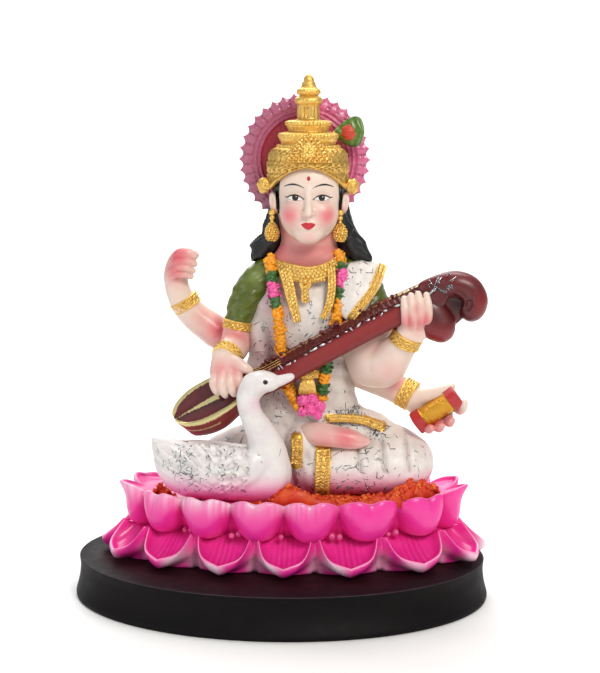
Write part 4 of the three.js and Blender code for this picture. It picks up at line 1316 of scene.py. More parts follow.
def head():
    """A calm, symmetrical face of plain proportions, the ears and the neck."""
    clay = Clay((-10, -18, 141), (31, 17, 194), 0.42)
    clay.add(ball((FACE_X, 2.5, 182), (14.2, 14.6, 13)), 0)
    clay.add(ball((FACE_X, -1.2, 169), (12.6, 11.2, 12.6)), 5)
    clay.add(ball((FACE_X, -8.4, 159.6), (4.4, 3.4, 3.2)), 4.5)
    for side in (-1, 1):
        clay.add(ball((FACE_X + side * 6.2, -7.2, 168.4), (4.8, 4.2, 4.6)), 3.5)
        clay.cut(ball((FACE_X + side * EYE_APART, -14.6, EYE_LEVEL + 0.6), (4.2, 2.6, 2.8)), 2.2)
        clay.add(ball((FACE_X + side * EYE_APART, -9.6, EYE_LEVEL + 0.1), (3.4, 2.5, 2.3)), 0.6)
    clay.add(on_face([[-8.8, -11, EYE_LEVEL, 0.25], [-7.2, -12, EYE_LEVEL + 1.3, 0.5],
        [-5.6, -12.4, EYE_LEVEL + 1.75, 0.55], [-3.8, -12.2, EYE_LEVEL + 1.2, 0.45],
        [-2.4, -11.6, EYE_LEVEL - 0.2, 0.2]], (1, -1)), 0.7)
    clay.add(on_face([[0, -11.6, 179, 1.4], [0, -12.8, 175, 1.35], [0, -14.4, 171.4, 1.7],
        [0, -14.8, 169.9, 1.8]]), 1.8)
    clay.add(on_face([[-1.9, -12.8, 169.6, 1.15], [-1.5, -13.4, 169.4, 1.1]], (1, -1)), 0.7)
    clay.cut(on_face([[-1, -14.2, 168.2, 0.45], [-0.9, -13.2, 168.6, 0.4]], (1, -1)), 0.4)
    clay.add(ball((FACE_X, -11.2, 164.6), (4.2, 1.9, 2.6)), 2)
    clay.add(on_face([[-2.8, -11.9, 164.7, 0.4], [-1.2, -12.9, 165.3, 0.75], [0, -13.1, 165.1, 0.7],
        [1.2, -12.9, 165.3, 0.75], [2.8, -11.9, 164.7, 0.4]]), 0.6)
    clay.add(on_face([[-2.4, -12, 164.1, 0.4], [0, -13, 163.4, 0.95], [2.4, -12, 164.1, 0.4]]), 0.5)
    clay.cut(on_face([[-2.9, -12.6, 164.5, 0.15], [0, -14.1, 164.35, 0.18],
        [2.9, -12.6, 164.5, 0.15]]), 0.3)
    for side in (-1, 1):
        clay.add(ball((FACE_X + side * 15.2, 1.4, 173), (1.9, 2.8, 4.8), (0, side * 8, 0)), 0.8)
        clay.cut(ball((FACE_X + side * 16.2, -1.2, 174), (1, 1.4, 2.8)), 0.8)
    clay.add(column([[10.6, 6, 142, 18.6, 8.6], [10.6, 5.6, 146, 17.4, 8.8],
        [10.6, 5.4, 149.6, 15.4, 8.4], [10.7, 5.4, 153, 13, 7.8], [10.8, 5.4, 157, 12, 7.8],
        [10.8, 5.4, 162, 13.2, 8.4], [10.8, 5.4, 168, 14.4, 8.4]]), 1.6)
    for level in (149.5, 153.6):
        clay.cut(limb([[2, -1.6, level + 1.6, 0.25], [6, -3.4, level + 0.2, 0.35],
                [FACE_X, -4.2, level - 0.2, 0.4], [15.6, -3.4, level + 0.2, 0.35],
                [19.6, -1.6, level + 1.6, 0.25]]), 0.8)
    shape = clay.fired()
    points = shape[0]
    blush_and_shade = spots(points, [(FACE_X - 7.8, -10.6, 168.4, 4.4, 0.9), (FACE_X + 7.8, -10.6, 168.4, 4.4, 0.9),
            (FACE_X, -12, 159, 3.2, 0.3), (FACE_X - 16, 0, 169, 3, 0.5), (FACE_X + 16, 0, 169, 3, 0.5)])
    # Painted shade under the chin and the jaw, heavier toward the left, laid in the rose coat and the
    # hollow coat
    neck = ramp(points[:, 2], 158, 154) * ramp(np.abs(points[:, 0] - FACE_X), 20, 12)
    neck = np.maximum(neck, 0.8 * ramp(points[:, 1], -5, -1) * ramp(points[:, 2], 170, 165))
    blush_and_shade = np.maximum(blush_and_shade, (0.66 + 0.16 * ramp(points[:, 0], 6, -4)) * neck)
    masks = face_paint(points)
    masks["blush_and_shade"] = blush_and_shade
    # Painted shade in the hollows and under the chin
    masks["hollow"] = np.maximum(hollow_mask(shape, 0.9, 3, 0.5), 0.3 * neck)
    piece("head", shape, face_enamel, "figure", masks)


def hair():
    """Black hair: strips beside the face, locks on the shoulders and a long fall behind."""
    clay = Clay((-18, -9, 108), (41, 27, 196), 0.8)

    def strands(x, y, z):
        around = np.arctan2(y - 6, x - FACE_X) * 16
        return 0.6 * np.sin(around * 1.15 + 1.1 * np.sin(z * 0.3)) + 0.2 * np.sin(around * 2.9 + z * 0.2)

    clay.add(ball((FACE_X, 4.2, 181), (14.4, 12.2, 12.6)), 0, 0, strands)
    left = [[-1.4, 7, 176, 3.4, 5], [-2.8, 7.6, 168, 3.6, 6], [-3.8, 8, 161.6, 4.2, 6],
        [-5.8, 8.4, 156.4, 4.4, 5.4], [-8.8, 8, 152.4, 4.2, 4.4], [-10.6, 8, 148.6, 2.4, 3]]
    right = [[23.4, 7, 176, 3.4, 5], [24.4, 7.6, 168, 3.7, 6], [25.6, 8, 161.6, 4.2, 6],
        [28, 8.4, 156.4, 4.6, 5.4], [31.4, 8, 152, 4.2, 4.4], [33.8, 8, 148.4, 2.4, 3]]
    wisps = [[[-5.4, 6, 166, 1.8], [-7.6, 5.6, 163, 1.5], [-8.6, 5.6, 160.4, 0.7]], [[-7.8, 6, 157, 2.2],
        [-11.6, 5.6, 154.4, 1.7], [-14, 5.4, 153.6, 0.7]], [[-10, 6, 152, 2.2],
        [-12.6, 5.6, 149.6, 1.6], [-13.4, 5.4, 147.4, 0.7]], [[27.4, 6, 165, 1.8],
        [29.8, 5.6, 162, 1.5], [30.6, 5.4, 159.4, 0.7]], [[30.6, 6, 158, 2.2],
        [33.6, 5.6, 155.4, 1.6], [34.8, 5.4, 153.6, 0.7]], [[33.4, 6, 152, 2.2],
        [36.4, 5.6, 149.2, 1.7], [38, 5.4, 147.6, 0.7]]]
    for lock in (left, right):
        clay.limb(lock, 1.5, 0.5, strands)
    for wisp in wisps:
        clay.limb(wisp, 1.2, 0.3, strands)
    clay.limb([[11, 8, 176, 14.4, 7], [11, 9.4, 164, 15.4, 6.2], [11, 15.6, 150, 17.2, 6],
        [11, 17, 132, 15.4, 4.8], [11, 17, 118, 10.4, 4]], 3, 0.5, strands, flat=(0, 1, 0))
    clay.cut(ball((FACE_X, -10.5, 171), (13.4, 12, 16)), 1)
    shape = clay.fired()
    piece("hair", shape, black_hair, "figure", {"hollow": hollow_mask(shape, 1.2, 2, 0.8)})


head()
hair()


# Crown and jewels

CROWN_X, CROWN_Y = 10.4, 2.6
CROWN_DEPTH = 0.92  # the crown is a little shallower than it is wide


def crown_ring(turn, radius, level):
    """Places round the crown's axis, held just inside the halo at the back."""
    back = np.minimum(CROWN_Y + np.sin(turn) * radius * CROWN_DEPTH, 17)
    return np.stack(np.broadcast_arrays(CROWN_X + np.cos(turn) * radius, back, level), -1)


def crown_body():
    """The crown turned as one: a domed cap, two roped tiers, a drum and a ribbed finial."""
    sides = 150
    turn = turns(sides)
    ahead = np.maximum(0, -np.sin(turn))
    edge = 178.6 + 9.6 * ahead ** 2  # the lower edge arches up over the forehead
    profile = [
        (227.3, 0.3), (226.9, 1), (226, 1.8), (224.9, 2.2), (224.5, 2.1), (223.6, 2.8), (222.4, 3),
        (221.5, 3.8), (220.8, 4.5), (219.8, 4.7), (218.8, 4.2), (218.3, 3.9), (218, 4.6), (217.4, 5.5),
        (216.4, 6), (215.4, 5.8), (214.6, 5), (214.1, 4.7), (211.4, 4.7), (208.8, 4.9), (208.2, 5.6),
        (208, 7.8), (207.7, 8.8), (207, 9.5), (206, 9.6), (205, 9.2), (204, 8.7), (203.3, 8.9),
        (203, 10.4), (202.6, 11.7), (201.8, 12.6), (200.6, 12.7), (199.4, 12.3), (198.4, 11.7),
        (197.6, 11.8),
        (197, 12.8), (196.2, 14.4), (194.8, 15.8), (192.8, 16.9), (190, 17.4),
    ]
    profile = smooth_rows(profile, 3)
    rings = []
    for level, radius in profile:
        ribs = 0.35 * np.abs(np.cos(turn * 10)) * (221.2 > level > 218.6)
        panel = -0.5 * (np.cos(turn * 4 + 0.7) > 0.3) * (213.8 > level > 209.2)
        drips = 0.2 * np.cos(turn * 17) * (213.8 > level > 209.2)
        dome = ramp(level, 197.2, 196) * 0.5 * curls(turn * 15.5, level, 3.2)
        out = radius + ribs + panel + drips + dome + 0.05 * seeded.normal(size=sides)
        rings.append(crown_ring(turn, out, level))
    for share in np.linspace(0.05, 1, 20):
        level = 190.0 + (edge - 190.0) * share
        hem = 0.9 * math.exp(-((share - 0.93) / 0.06) ** 2)
        out = 17.4 - 0.9 * share ** 2 + 0.5 * curls(turn * 15.5, level, 3.2) * (share < 0.86) + hem
        out = out + 0.06 * seeded.normal(size=sides)
        rings.append(crown_ring(turn, out, level))
    for radius, lift in ((15.2, 0.2), (14.4, 4.0), (9.0, 12.0)):
        rings.append(crown_ring(turn, radius, np.minimum(edge + lift, 196)))
    gold_piece("crown", loops(rings[::-1]), 4, 2.0)


def crown_cords():
    """Cords of cast beads round the tiers, the drum and the finial."""
    cords = []
    for level, radius, size in ((219.7, 4.4, 0.85), (206.6, 9.1, 1.1), (201.4, 12.0, 1.2),
        (196.9, 13.0, 0.8)):
        count = round(math.tau * radius / (1.5 * size))
        ring = crown_ring(turns(count), radius, level)
        cords += [(*place, size) for place in ring]
    gold_piece("crown_cords", beads(cords, SMALL_BEAD))


def plaque():
    """The pointed front plate, a low triangle of cast scrolls round a raised middle."""
    tall, half, foot_z = 12.0, 10.2, 190.8
    across = np.linspace(-1, 1, 73)
    up = np.linspace(0, 1, 57)
    rows = []
    for rise in up:
        width = half * (1 - rise ** 1.3) ** 0.8 + 0.08
        x = across * width
        level = foot_z + rise * tall
        middle = ramp(np.hypot(x / 3.4, (rise - 0.42) / 0.3), 1.1, 0.7)
        scroll = 0.5 * curls(x, level, 2.3) * (1 - 0.6 * middle)
        bulge = 1.5 * (1 - np.abs(across) ** 3) * (1 - rise * 0.5) - 1.2 * (np.abs(across) ** 4)
        lean = CROWN_Y - 16.6 * CROWN_DEPTH + rise * 3.4
        depth = lean - 0.4 - bulge - 0.6 * middle - scroll
        rows.append(np.stack([CROWN_X + 0.6 + x, depth, level + 0 * x], 1))
    front = np.array(rows)
    back = front.copy()
    back[:, :, 1] = CROWN_Y - 12.0 + up[:, None] * 3.0
    gold_piece("crown_plaque", loops(np.concatenate([front, back[:, ::-1]], axis=1)), 3, 2.2)


def rosette(centre, radius, petals, tilt=(0, 0, 0), whorls=3, rings=14, sides=48):
    """A small flower: whorls of petals rising to the middle, facing front before it is tilted."""
    share = np.linspace(0, 1, rings)[:, None]
    turn = turns(sides)[None, :]
    level = share * whorls
    step = np.floor(np.minimum(level, whorls - TINY))
    within = level - step
    lobe = np.abs(np.cos(turn * petals / 2 + step * 0.9))
    reach = share * (1 - 0.16 * (1 - lobe) * within)
    rise = (1 - share ** 2) * 0.55 + 0.16 * (within - 0.5) * (0.4 + lobe)
    x, y, z = np.cos(turn) * reach, -rise, np.sin(turn) * reach
    skin = np.stack(np.broadcast_arrays(x, y, z), -1) * radius
    skin[0] += np.stack([np.cos(turn[0]), 0 * turn[0], np.sin(turn[0])], 1) * 0.02 * radius
    points, faces = loops(skin @ turning(tilt) + centre)
    return points, [part[:, ::-1] for part in faces]


def jewels():
    """Ear flowers, drop earrings and the knobs of the crown."""
    flowers, earrings = [], []
    for x, face_turn in ((-8.4, -14), (29.4, 14)):
        flowers.append(rosette((x, -1.4, 180.6), 3.1, 7, (0, 0, face_turn), 3))
        flowers.append(beads([(x, 0.4, 180.2, 2.8, 2.2, 3.6), (x + 0.1, -3.0, 180.6, 0.9)]))
        inward = 4.0 if x < CROWN_X else -4.0
        flowers.append(rosette((x + inward, -2.0, 187.6), 2.5, 6, (0, 0, face_turn), 2))
        flowers.append(beads([(x + inward, -0.8, 187.6, 2.6, 2.0, 2.8)]))
    for x in (-4.8, 24.4):
        hang = [(x, -0.8, 168.9, 1.5), (x, -0.7, 166.6, 1.2), (x, -0.6, 164.8, 0.9),
                (x, -0.4, 160.2, 2.5, 2.2, 3.7)]
        for level, radius in ((163.8, 1.2), (162.9, 1.8), (161.9, 2.3), (160.9, 2.6), (159.9, 2.7),
            (158.9, 2.6),
            (157.9, 2.2), (157, 1.5)):
            count = max(6, round(radius * 5.2))
            for k in range(count):
                turn = k / count * math.tau + level
                hang.append((x + radius * math.cos(turn), -0.4 + radius * math.sin(turn) * 0.85,
                        level + seeded.uniform(-0.2, 0.2), seeded.uniform(0.5, 0.75)))
        earrings += [beads(hang[:4]), beads(hang[4:], SMALL_BEAD)]
    gold_piece("ear_flowers", together(flowers))
    gold_piece("earrings", together(earrings))


def feather():
    """A green feather with a fiery eye and a gold stem, leaning on the crown."""
    rows = []
    across = np.linspace(-1, 1, 17)
    for along, half in smooth_rows([[0, 0.4], [2.5, 2.6], [6, 5.2], [9.5, 6.6], [12.4, 5.4], [14, 1.6]]):
        barbs = 0.22 * np.cos(along * 2 + np.abs(across) * 5)
        swell = 1.8 * (1 - across ** 2) + barbs
        level = 202.4 + along * 0.05 + 0.3
        front = np.stack([20.6 + along * 0.98 + 0 * across, 7.8 - swell, level + across * half], 1)
        back = front[::-1] * (1, 0, 1) + (0, 9.4, 0)
        rows.append(np.vstack([front, back]))
    shape = loops(rows)
    # Green enamel with painted shade in the hollows and a gold rim on the stem
    green = painted("feather_enamel", "4f7020", [("hollow", "1d3a12")], 0.34,
            varnish=0.3, mottle=(1.2, "7ba33e", 0.6), grit=(0.5, 0.08), gilded=("rim", "e9b23a", 0.2))
    rim = 0.6 - np.abs(shape[0][:, 0] - 20.8)
    piece("crown_feather", shape, green, "figure", {"hollow": hollow_mask(shape, 1.4, 2), "rim": rim})
    # Coral enamel with painted shade in the hollows
    coral = painted("coral_enamel", "d8452a", [("hollow", "7c1a14")], 0.34, varnish=0.3, grit=(0.5, 0.08))
    eye = rosette((27.6, 6.6, 202.8), 3.5, 7, (0, 20, 0), 4)
    piece("feather_eye", eye, coral, "figure", {"hollow": hollow_mask(eye, 3, 2)})


def necklaces():
    """The wide collar of cast beads, its two hanging bands and the pendant."""
    collar = [[-3.2, -0.4, 147.0, 1.8, 1.0], [0.4, -4.6, 145.6, 2.6, 1.0], [5.2, -8.0, 144.2, 3.2, 1.0],
        [10.8, -9.2, 143.4, 3.4, 1], [16.2, -8, 144.2, 3.2, 1], [20.6, -4.6, 146.2, 2.6, 1],
        [24, -0.4, 149, 1.8, 1]]
    left = [[0.6, -6.6, 145, 2.4, 0.9], [2.6, -8.8, 139, 2.5, 0.9], [4.6, -10.2, 131, 2.2, 0.9],
        [6.8, -10.8, 123, 1.5, 0.9]]
    right = [[20.8, -6.6, 146, 1.8, 0.9], [21.2, -9.0, 139, 1.8, 0.9], [20.2, -10.4, 131, 1.7, 0.9],
        [17.4, -10.8, 124.6, 1.3, 0.9]]
    pendant = [[10.4, -10, 141.4, 2.2, 0.9], [9.9, -10.8, 139.2, 2.7, 1.1], [9.8, -11.2, 136.6, 1.6, 1.0],
        [9.9, -11, 133.4, 1.8, 0.9], [10, -10.8, 131.6, 1.5, 0.7]]
    shapes = [ribbon(rows, 1.7, 0.45, FRONT, 24, drops) for rows in (collar, left, right, pendant)]
    fringe = [(x, -9.6 + abs(x - 10.8) * 0.22, 139.9 + abs(x - 10.8) * 0.14, 0.7)
              for x in np.arange(3.6, 18.5, 1.3)]
    shapes.append(beads(fringe + [(9.8, -12.0, 140.6, 1.1)]))
    gold_piece("necklaces", together(shapes), 3, 2.2)


crown_body()
crown_cords()
plaque()
jewels()
feather()
necklaces()


# Garland, tassel and book

def petal(place, out, along, size):
    """One thick paper petal, standing out from a strand and leaning along it."""
    lean = seeded.uniform(0.3, 1.2)
    normal = unit(out * math.cos(lean) + along * math.sin(lean) + seeded.normal(size=3) * 0.25)
    side = unit(np.cross(normal, along))
    axes = np.stack([side * size, np.cross(normal, side) * size, normal * size * 0.34])
    points, faces = BEAD
    frill = 1 + 0.14 * np.cos(np.arctan2(points[:, 1], points[:, 0]) * 5 + seeded.uniform(0, 6))
    cupped = points * frill[:, None] - np.outer((points[:, :2] ** 2).sum(1), (0, 0, 0.7))
    return cupped @ axes + place, faces


def flower(centre, radius):
    """A rose: three whorls of petals round a bud."""
    made = [beads([(*(centre + (0, 0.6, 0)), radius * 0.62)])]
    for whorl, count in ((1.0, 7), (0.62, 5), (0.24, 3)):
        for k in range(count):
            turn = (k + whorl) / count * math.tau
            out = np.array([math.cos(turn), 0, math.sin(turn)])
            place = centre + out * radius * whorl * 0.72 + (0, -radius * 0.5 * (1 - whorl), 0)
            made.append(petal(place, unit(FRONT + out * whorl * 0.9), out, radius * 0.42))
    return together(made)


def garland():
    """Two strands of paper petals in blocks of colour, tied in a knot of roses at the lap."""
    left = [[-5.6, 0.4, 148.6], [-5.0, -4.4, 143], [-3.8, -8.0, 136], [-2.2, -10.4, 128],
        [-1, -10.8, 119], [0.4, -9.8, 107], [2.4, -8.8, 96], [5.2, -8.8, 89], [9.6, -10.2, 85]]
    right = [[23.8, 0.4, 151.4], [25.2, -2.6, 147], [25.6, -5.6, 141], [24.9, -8.2, 133],
        [23.4, -9.6, 124], [21, -9.8, 112], [19, -9.6, 101], [17.6, -9.6, 92], [14.4, -10.4, 86]]
    # How far each colour goes down a strand, in millimetres
    left_blocks = [
        ("orange", 7), ("green", 5), ("rose", 7), ("green", 5), ("orange", 20), ("rose", 5), ("green", 7),
        ("orange", 30),
    ]
    right_blocks = [
        ("orange", 5), ("green", 3), ("rose", 9), ("green", 4), ("orange", 12), ("green", 5), ("orange", 9),
        ("green", 7), ("orange", 5), ("green", 5), ("orange", 30),
    ]
    petals = {colour: [] for colour in petal_paint}
    for path, blocks in ((left, left_blocks), (right, right_blocks)):
        fine = smooth_rows(path, 30)
        length = lengths(fine)
        ends = np.cumsum([block[1] for block in blocks])
        travel = 0.0
        while travel < length[-1]:
            colour = blocks[min(int(np.searchsorted(ends, travel)), len(blocks) - 1)][0]
            here, ahead = (np.array([np.interp(t, length, fine[:, i]) for i in range(3)])
                    for t in (travel, travel + 0.6))
            along = unit(ahead - here + (0, 0, -TINY))
            side = unit(np.cross(along, FRONT))
            front = np.cross(side, along)
            petals[colour].append(beads([(*here, 1.9)]))
            for k in range(6):
                turn = (k + seeded.uniform(-0.45, 0.45) + travel) / 6 * math.tau
                out = side * math.cos(turn) + front * math.sin(turn)
                size = seeded.uniform(0.7, 1.7)
                place = here + out * seeded.uniform(1.3, 2.5) + along * seeded.uniform(-0.9, 0.9)
                petals[colour].append(petal(place, out, along, size))
            travel += 1.6
    for x, z, radius in ((9.2, 89.2, 2.9), (13.4, 89.8, 3.0), (16.6, 86.6, 2.9), (12.2, 85.4, 3.1),
        (15.6, 83, 2.5), (9.2, 84.2, 2.5)):
        petals["rose"].append(flower(np.array([x, -12.6, z]), radius))
    for colour, parts in petals.items():
        shape = together(parts)
        mask = {"hollow": hollow_mask(shape, 2.0, 2, 0.9)}
        piece(colour + "_flowers", shape, petal_paint[colour], "figure", mask)


def tassel():
    """The gold tassel above the roses, under a cast clasp."""
    rows = []
    for k in range(17):
        lean = (k - 8) * 0.42
        rows.append(tube([[11.2 + lean * 0.5, -11.2, 99.5, 0.42], [11.2 + lean * 0.9, -12.4, 96, 0.44],
            [11.2 + lean * 1.1, -12.6, 91.8 + abs(k % 3 - 1) * 0.5, 0.4]], 6))
    rows.append(ribbon([[6.6, -10.4, 100.4, 1.7, 1.1], [11.2, -11.6, 101, 2.4, 1.3],
        [15.8, -10.6, 100.4, 1.7, 1.1]], 1.8, 0.35, FRONT, 20))
    gold_piece("tassel", together(rows))


def book():
    """A closed book with rounded spine, lying across the left palm, its ends bound in red."""
    half, slope = 3.9, math.radians(37)
    centre = np.array([66.8, -6.2, 84.8])
    along = np.array([math.cos(slope), 0, math.sin(slope)])
    lift = np.array([-math.sin(slope), 0, math.cos(slope)])
    ahead = np.array([0, -1.0, 0])
    tilt = math.radians(20)
    a = lift * math.cos(tilt) + ahead * math.sin(tilt)
    b = ahead * math.cos(tilt) - lift * math.sin(tilt)
    angle = turns(40)
    outline = np.stack([np.sign(np.cos(angle)) * np.abs(np.cos(angle)) ** 0.45,
            np.sign(np.sin(angle)) * np.abs(np.sin(angle)) ** 0.45], 1) * half
    places = np.concatenate([[-11.2, -11.0], np.linspace(-10.6, 10.6, 120), [11.0, 11.2]])
    rings = []
    for push in places:
        cap = 0.84 if abs(push) > 11.1 else 0.95 if abs(push) > 10.9 else 1.0
        pages = 0.1 * seeded.normal(size=(40, 1)) if abs(push) < 6.4 else 0.5
        section = outline[:, :1] * a + outline[:, 1:] * b
        rings.append(centre + along * push + section * (cap + pages / half))
    shape = loops(rings)
    push = (shape[0] - centre) @ along
    ragged = foil_grain(shape[0])
    leaf = np.where(np.abs(push) < 6.6, 1.0, -1.0) + 0.3 * (ragged - 0.5)
    # Red enamel with painted shade in the hollows, gold leaf across the middle and tarnish on the leaf
    enamel = painted("red_book_enamel", "b81f26", [("hollow", "5a0c10"), ("tarnish", "a8641a")],
            0.42, varnish=0.2, mottle=(2.0, "98161c", 0.6), grit=(0.4, 0.1),
            gilded=("leaf", "d9a338", 0.2))
    piece("book", shape, enamel, "figure", {
        "hollow": hollow_mask(shape, 2.0, 2), "leaf": leaf,
        "tarnish": ramp(ragged, 0.6, 0.2) * 0.5 * (leaf > 0)})


garland()
tassel()
book()


# Veena

BOARD_START = np.array([-35, -14.2, 87.6])
BOARD_END = np.array([33.4, -15.6, 126])
BOARD_POINTS, HULL_POINTS = 27, 37
BOWL_ENDS, NECK_STARTS = 0.24, 0.42  # shares of the board between which one form turns into the other
# The neck's section as millimetres over the board's line and in front of it, from the board's
# back edge round behind and below to its front edge
NECK_SECTION = [(1.2, -3.2), (1.5, -7), (0, -10.2), (-5.6, -9.8), (-9.8, -5.6), (-10.8, -0.6),
        (-9.6, 2.3), (-6, 2.6), (-2.9, 2.8)]


def board_line(share):
    """A point of the board at a share of its length, the way along it and the way over it."""
    span = BOARD_END - BOARD_START
    along = unit(span)
    over = unit(np.cross(FRONT, along))
    return BOARD_START + span * share - over * 12 * max(0, share - 1) ** 2, along, over


def bowl_section(share):
    """The hull and the board of the bowl, both as points across it."""
    rows = smooth_rows([[-0.165, 3, 3, 31], [-0.15, 7, 6.5, 31], [-0.1, 12.6, 10, 31],
        [-0.01, 16.6, 12, 31], [0.12, 17, 11.5, 32], [0.24, 14.6, 11.2, 36], [0.35, 11.4, 13.4, 42],
        [0.5, 9.6, 14.6, 45], [1.54, 10, 12, 42]], 8)
    width, depth, tilt = (np.interp(share, rows[:, 0], rows[:, i]) for i in (1, 2, 3))
    centre, _, over = board_line(share)
    tilt = math.radians(tilt)
    normal = np.array(FRONT) * math.cos(tilt) + over * math.sin(tilt)
    across = over * math.cos(tilt) - np.array(FRONT) * math.sin(tilt)
    turn = np.linspace(0, math.pi, HULL_POINTS)
    side = np.sign(np.cos(turn)) * np.abs(np.cos(turn)) ** 0.55
    hull = centre + np.outer(side * width / 2, across) - np.outer(np.sin(turn) ** 0.8 * depth, normal)
    sag = 5.4 * ramp(share, -0.17, -0.12) * ramp(share, 0.34, 0.02)
    hull = hull - np.outer(np.sin(turn) ** 0.7 * ramp(turn, 0.6, 2.2) * sag, over)
    place = np.linspace(-1, 1, BOARD_POINTS)
    sunk = 0.7 * ramp(np.abs(place), 0.86, 0.74) - 0.35 * np.exp(-(place * width / 2 / 0.7) ** 2)
    return hull, centre + np.outer(place * width / 2, across) - np.outer(sunk, normal)


def neck_section(share):
    """The hull and the board of the neck: a tilted fingerboard over a flat front."""
    centre, _, over = board_line(share)
    outline = even(smooth_rows(NECK_SECTION, 6), HULL_POINTS) * (1 - 0.5 * ramp(share, 1.4, 1.53))
    hull = centre + np.outer(outline[:, 0], over) + np.outer(outline[:, 1], FRONT)
    place = np.linspace(0, 1, BOARD_POINTS)[:, None]
    board = hull[-1] * (1 - place) + hull[0] * place
    normal = unit(np.cross(hull[0] - hull[-1], np.cross(over, FRONT)))
    normal = normal if normal @ over > 0 else -normal
    notch_pitch = 2.5
    travel = share * np.linalg.norm(BOARD_END - BOARD_START)
    notch = 0.45 * ramp(math.cos(travel / notch_pitch * math.tau), 0.1, 0.6)
    notch = notch * ramp(np.abs(place - 0.5), 0.4, 0.3)
    return hull, board - notch * normal


def veena_body():
    """The gourd-like bowl and the neck, with pale gold lines on the bowl."""
    shares = np.concatenate([np.linspace(-0.164, -0.1, 12),
            np.linspace(-0.095, 1.53, 200)])
    rings = []
    for share in shares:
        turned = ramp(share, BOWL_ENDS, NECK_STARTS)
        sections = zip(bowl_section(share), neck_section(share))
        hull, board = (a * (1 - turned) + b * turned for a, b in sections)
        rings.append(np.vstack([hull, board[1:-1]]))
    shape = loops(rings)
    hull_place = np.linspace(1, -1, HULL_POINTS)
    board_place = np.linspace(-1, 1, BOARD_POINTS)[1:-1]
    share = np.repeat(shares, HULL_POINTS + BOARD_POINTS - 2)
    board = np.tile(np.repeat([0.0, 1.0], [HULL_POINTS, BOARD_POINTS - 2]), len(shares))
    place = np.tile(np.concatenate([hull_place, board_place]), len(shares))
    half = np.interp(share, [-0.165, -0.1, 0, 0.12, 0.24, 0.35, 1.4], [1.5, 6.3, 8.3, 8.5, 7.3, 5, 3.6])
    ragged = foil_grain(shape[0])
    from_edge = (1 - np.abs(place)) * np.where(board > 0, half, 24)
    bowl_rim = np.where(board > 0, 1.5, 0.9) - from_edge - 30 * ramp(share, 0.26, 0.44)
    back_edge = 0.75 * ramp(ragged, 0.3, 0.6) - from_edge - 5 * (place < 0)
    thick = np.interp(share, [-0.15, -0.08, 0.08], [0.1, 0.35, 1.15])
    stripe = np.where((share < 0.24) & (board > 0), thick - np.abs(place * half + 0.6), -1)
    second = np.where((board < 1) & (place < 0) & (share < 0.06), 0.5 - np.abs(from_edge - 4.0), -3)
    front_face = (1 - board) * ramp(place, 0.3, -0.3)
    # A line of painted shade under the gold stripe of the bowl
    under_line = hump(place * half + 0.6 + thick + 0.5, 0.45) * (share < 0.24) * board
    piece("veena_body", shape, maroon_lacquer, "veena", {
        # Painted highlight: lighter crimson over the hull and more on its front face, mottled by the foil
        # grain
        "crimson_highlight": ((1 - board) * (0.4 + 0.3 * ragged) + 0.3 * front_face) * ramp(share, 1.4, 1.2),
        "hollow": np.maximum(hollow_mask(shape, 1.4, 2, 0.6), 0.8 * under_line),
        "trim": np.maximum.reduce([bowl_rim, back_edge, stripe, second]) + 0.5 * (ragged - 0.6),
    })


def board_edge(share, front):
    """A point on the front or the back edge of the board, and the way along it."""
    turned = ramp(share, BOWL_ENDS, NECK_STARTS)
    edges = [section[1][0 if front else -1] for section in (bowl_section(share), neck_section(share))]
    return edges[0] * (1 - turned) + edges[1] * turned, board_line(share)[1]


def on_board(share, across, lift):
    """A point just over the board, from its front edge at 0 to its back edge at 1."""
    near, far = (board_edge(share, front)[0] for front in (True, False))
    return near + (far - near) * across + lift


def veena_details():
    """Strings and a bridge on the bowl, silver flecks and small pegs along the neck."""
    flecks, strings, pegs = [], [], []
    for share in np.arange(0.34, 1.5, 0.042):
        place, along = board_edge(share + seeded.uniform(-0.02, 0.02), True)
        way = unit(along + seeded.normal(size=3) * 0.4)
        start = place + seeded.uniform(-0.5, 0.5, 3) + (0, -0.2, 0.6)
        half = 0.5 + 1.3 * seeded.random() ** 1.5
        wide = seeded.uniform(0.25, 0.6)
        flecks.append(tube([[*(start - way * half), 0.2, 0.18], [*(start - way * 0.2 * half), wide, 0.28],
                [*(start + way * 0.5 * half), wide * 0.8, 0.26], [*(start + way * half), 0.15, 0.18]], 6))
    knots = []
    for share in np.arange(0.36, 1.48, 0.029):
        place = on_board(share, seeded.uniform(0.3, 0.4), (0, -0.2, 0.1))
        knots.append(beads([(*place, 0.75, 0.7, 0.55)]))
    for offset in (0.35, 0.55, 0.75):
        strings.append(tube([[*on_board(share, offset, (0, -0.35, 0.5)), 0.16]
                for share in np.linspace(0.1, 0.5, 14)], 6))
    bridge = tube([[*on_board(0.12, across, (0, -0.3, 0.5)), 0.7, 0.9] for across in (0.3, 0.5, 0.7)])
    for share in np.arange(0.4, 1.5, 0.052):
        place = board_edge(share + seeded.uniform(-0.02, 0.02), False)[0]
        size = 0.4 + 0.9 * seeded.random() ** 2
        pegs.append(beads([(*(place + (0, -0.5, 0.2 + size * 0.5)), size, 0.8, size * 0.8)]))
    pegs += [beads([(*(board_edge(share, False)[0] + (0, -0.6, 1)), 1.5, 1.1, 1.2)])
            for share in (0.43, 0.47, 0.86)]
    piece("veena_flecks", together(flecks), silver_wire, "veena")
    piece("veena_strings", together(strings), gold_paint, "veena", {"hollow": 0})
    # The pegs and knots take a little painted highlight and painted shade
    masks = {"crimson_highlight": 0.2, "hollow": 0.2, "trim": -1}
    piece("veena_pegs", together(pegs + knots + [bridge]), maroon_lacquer, "veena", masks)


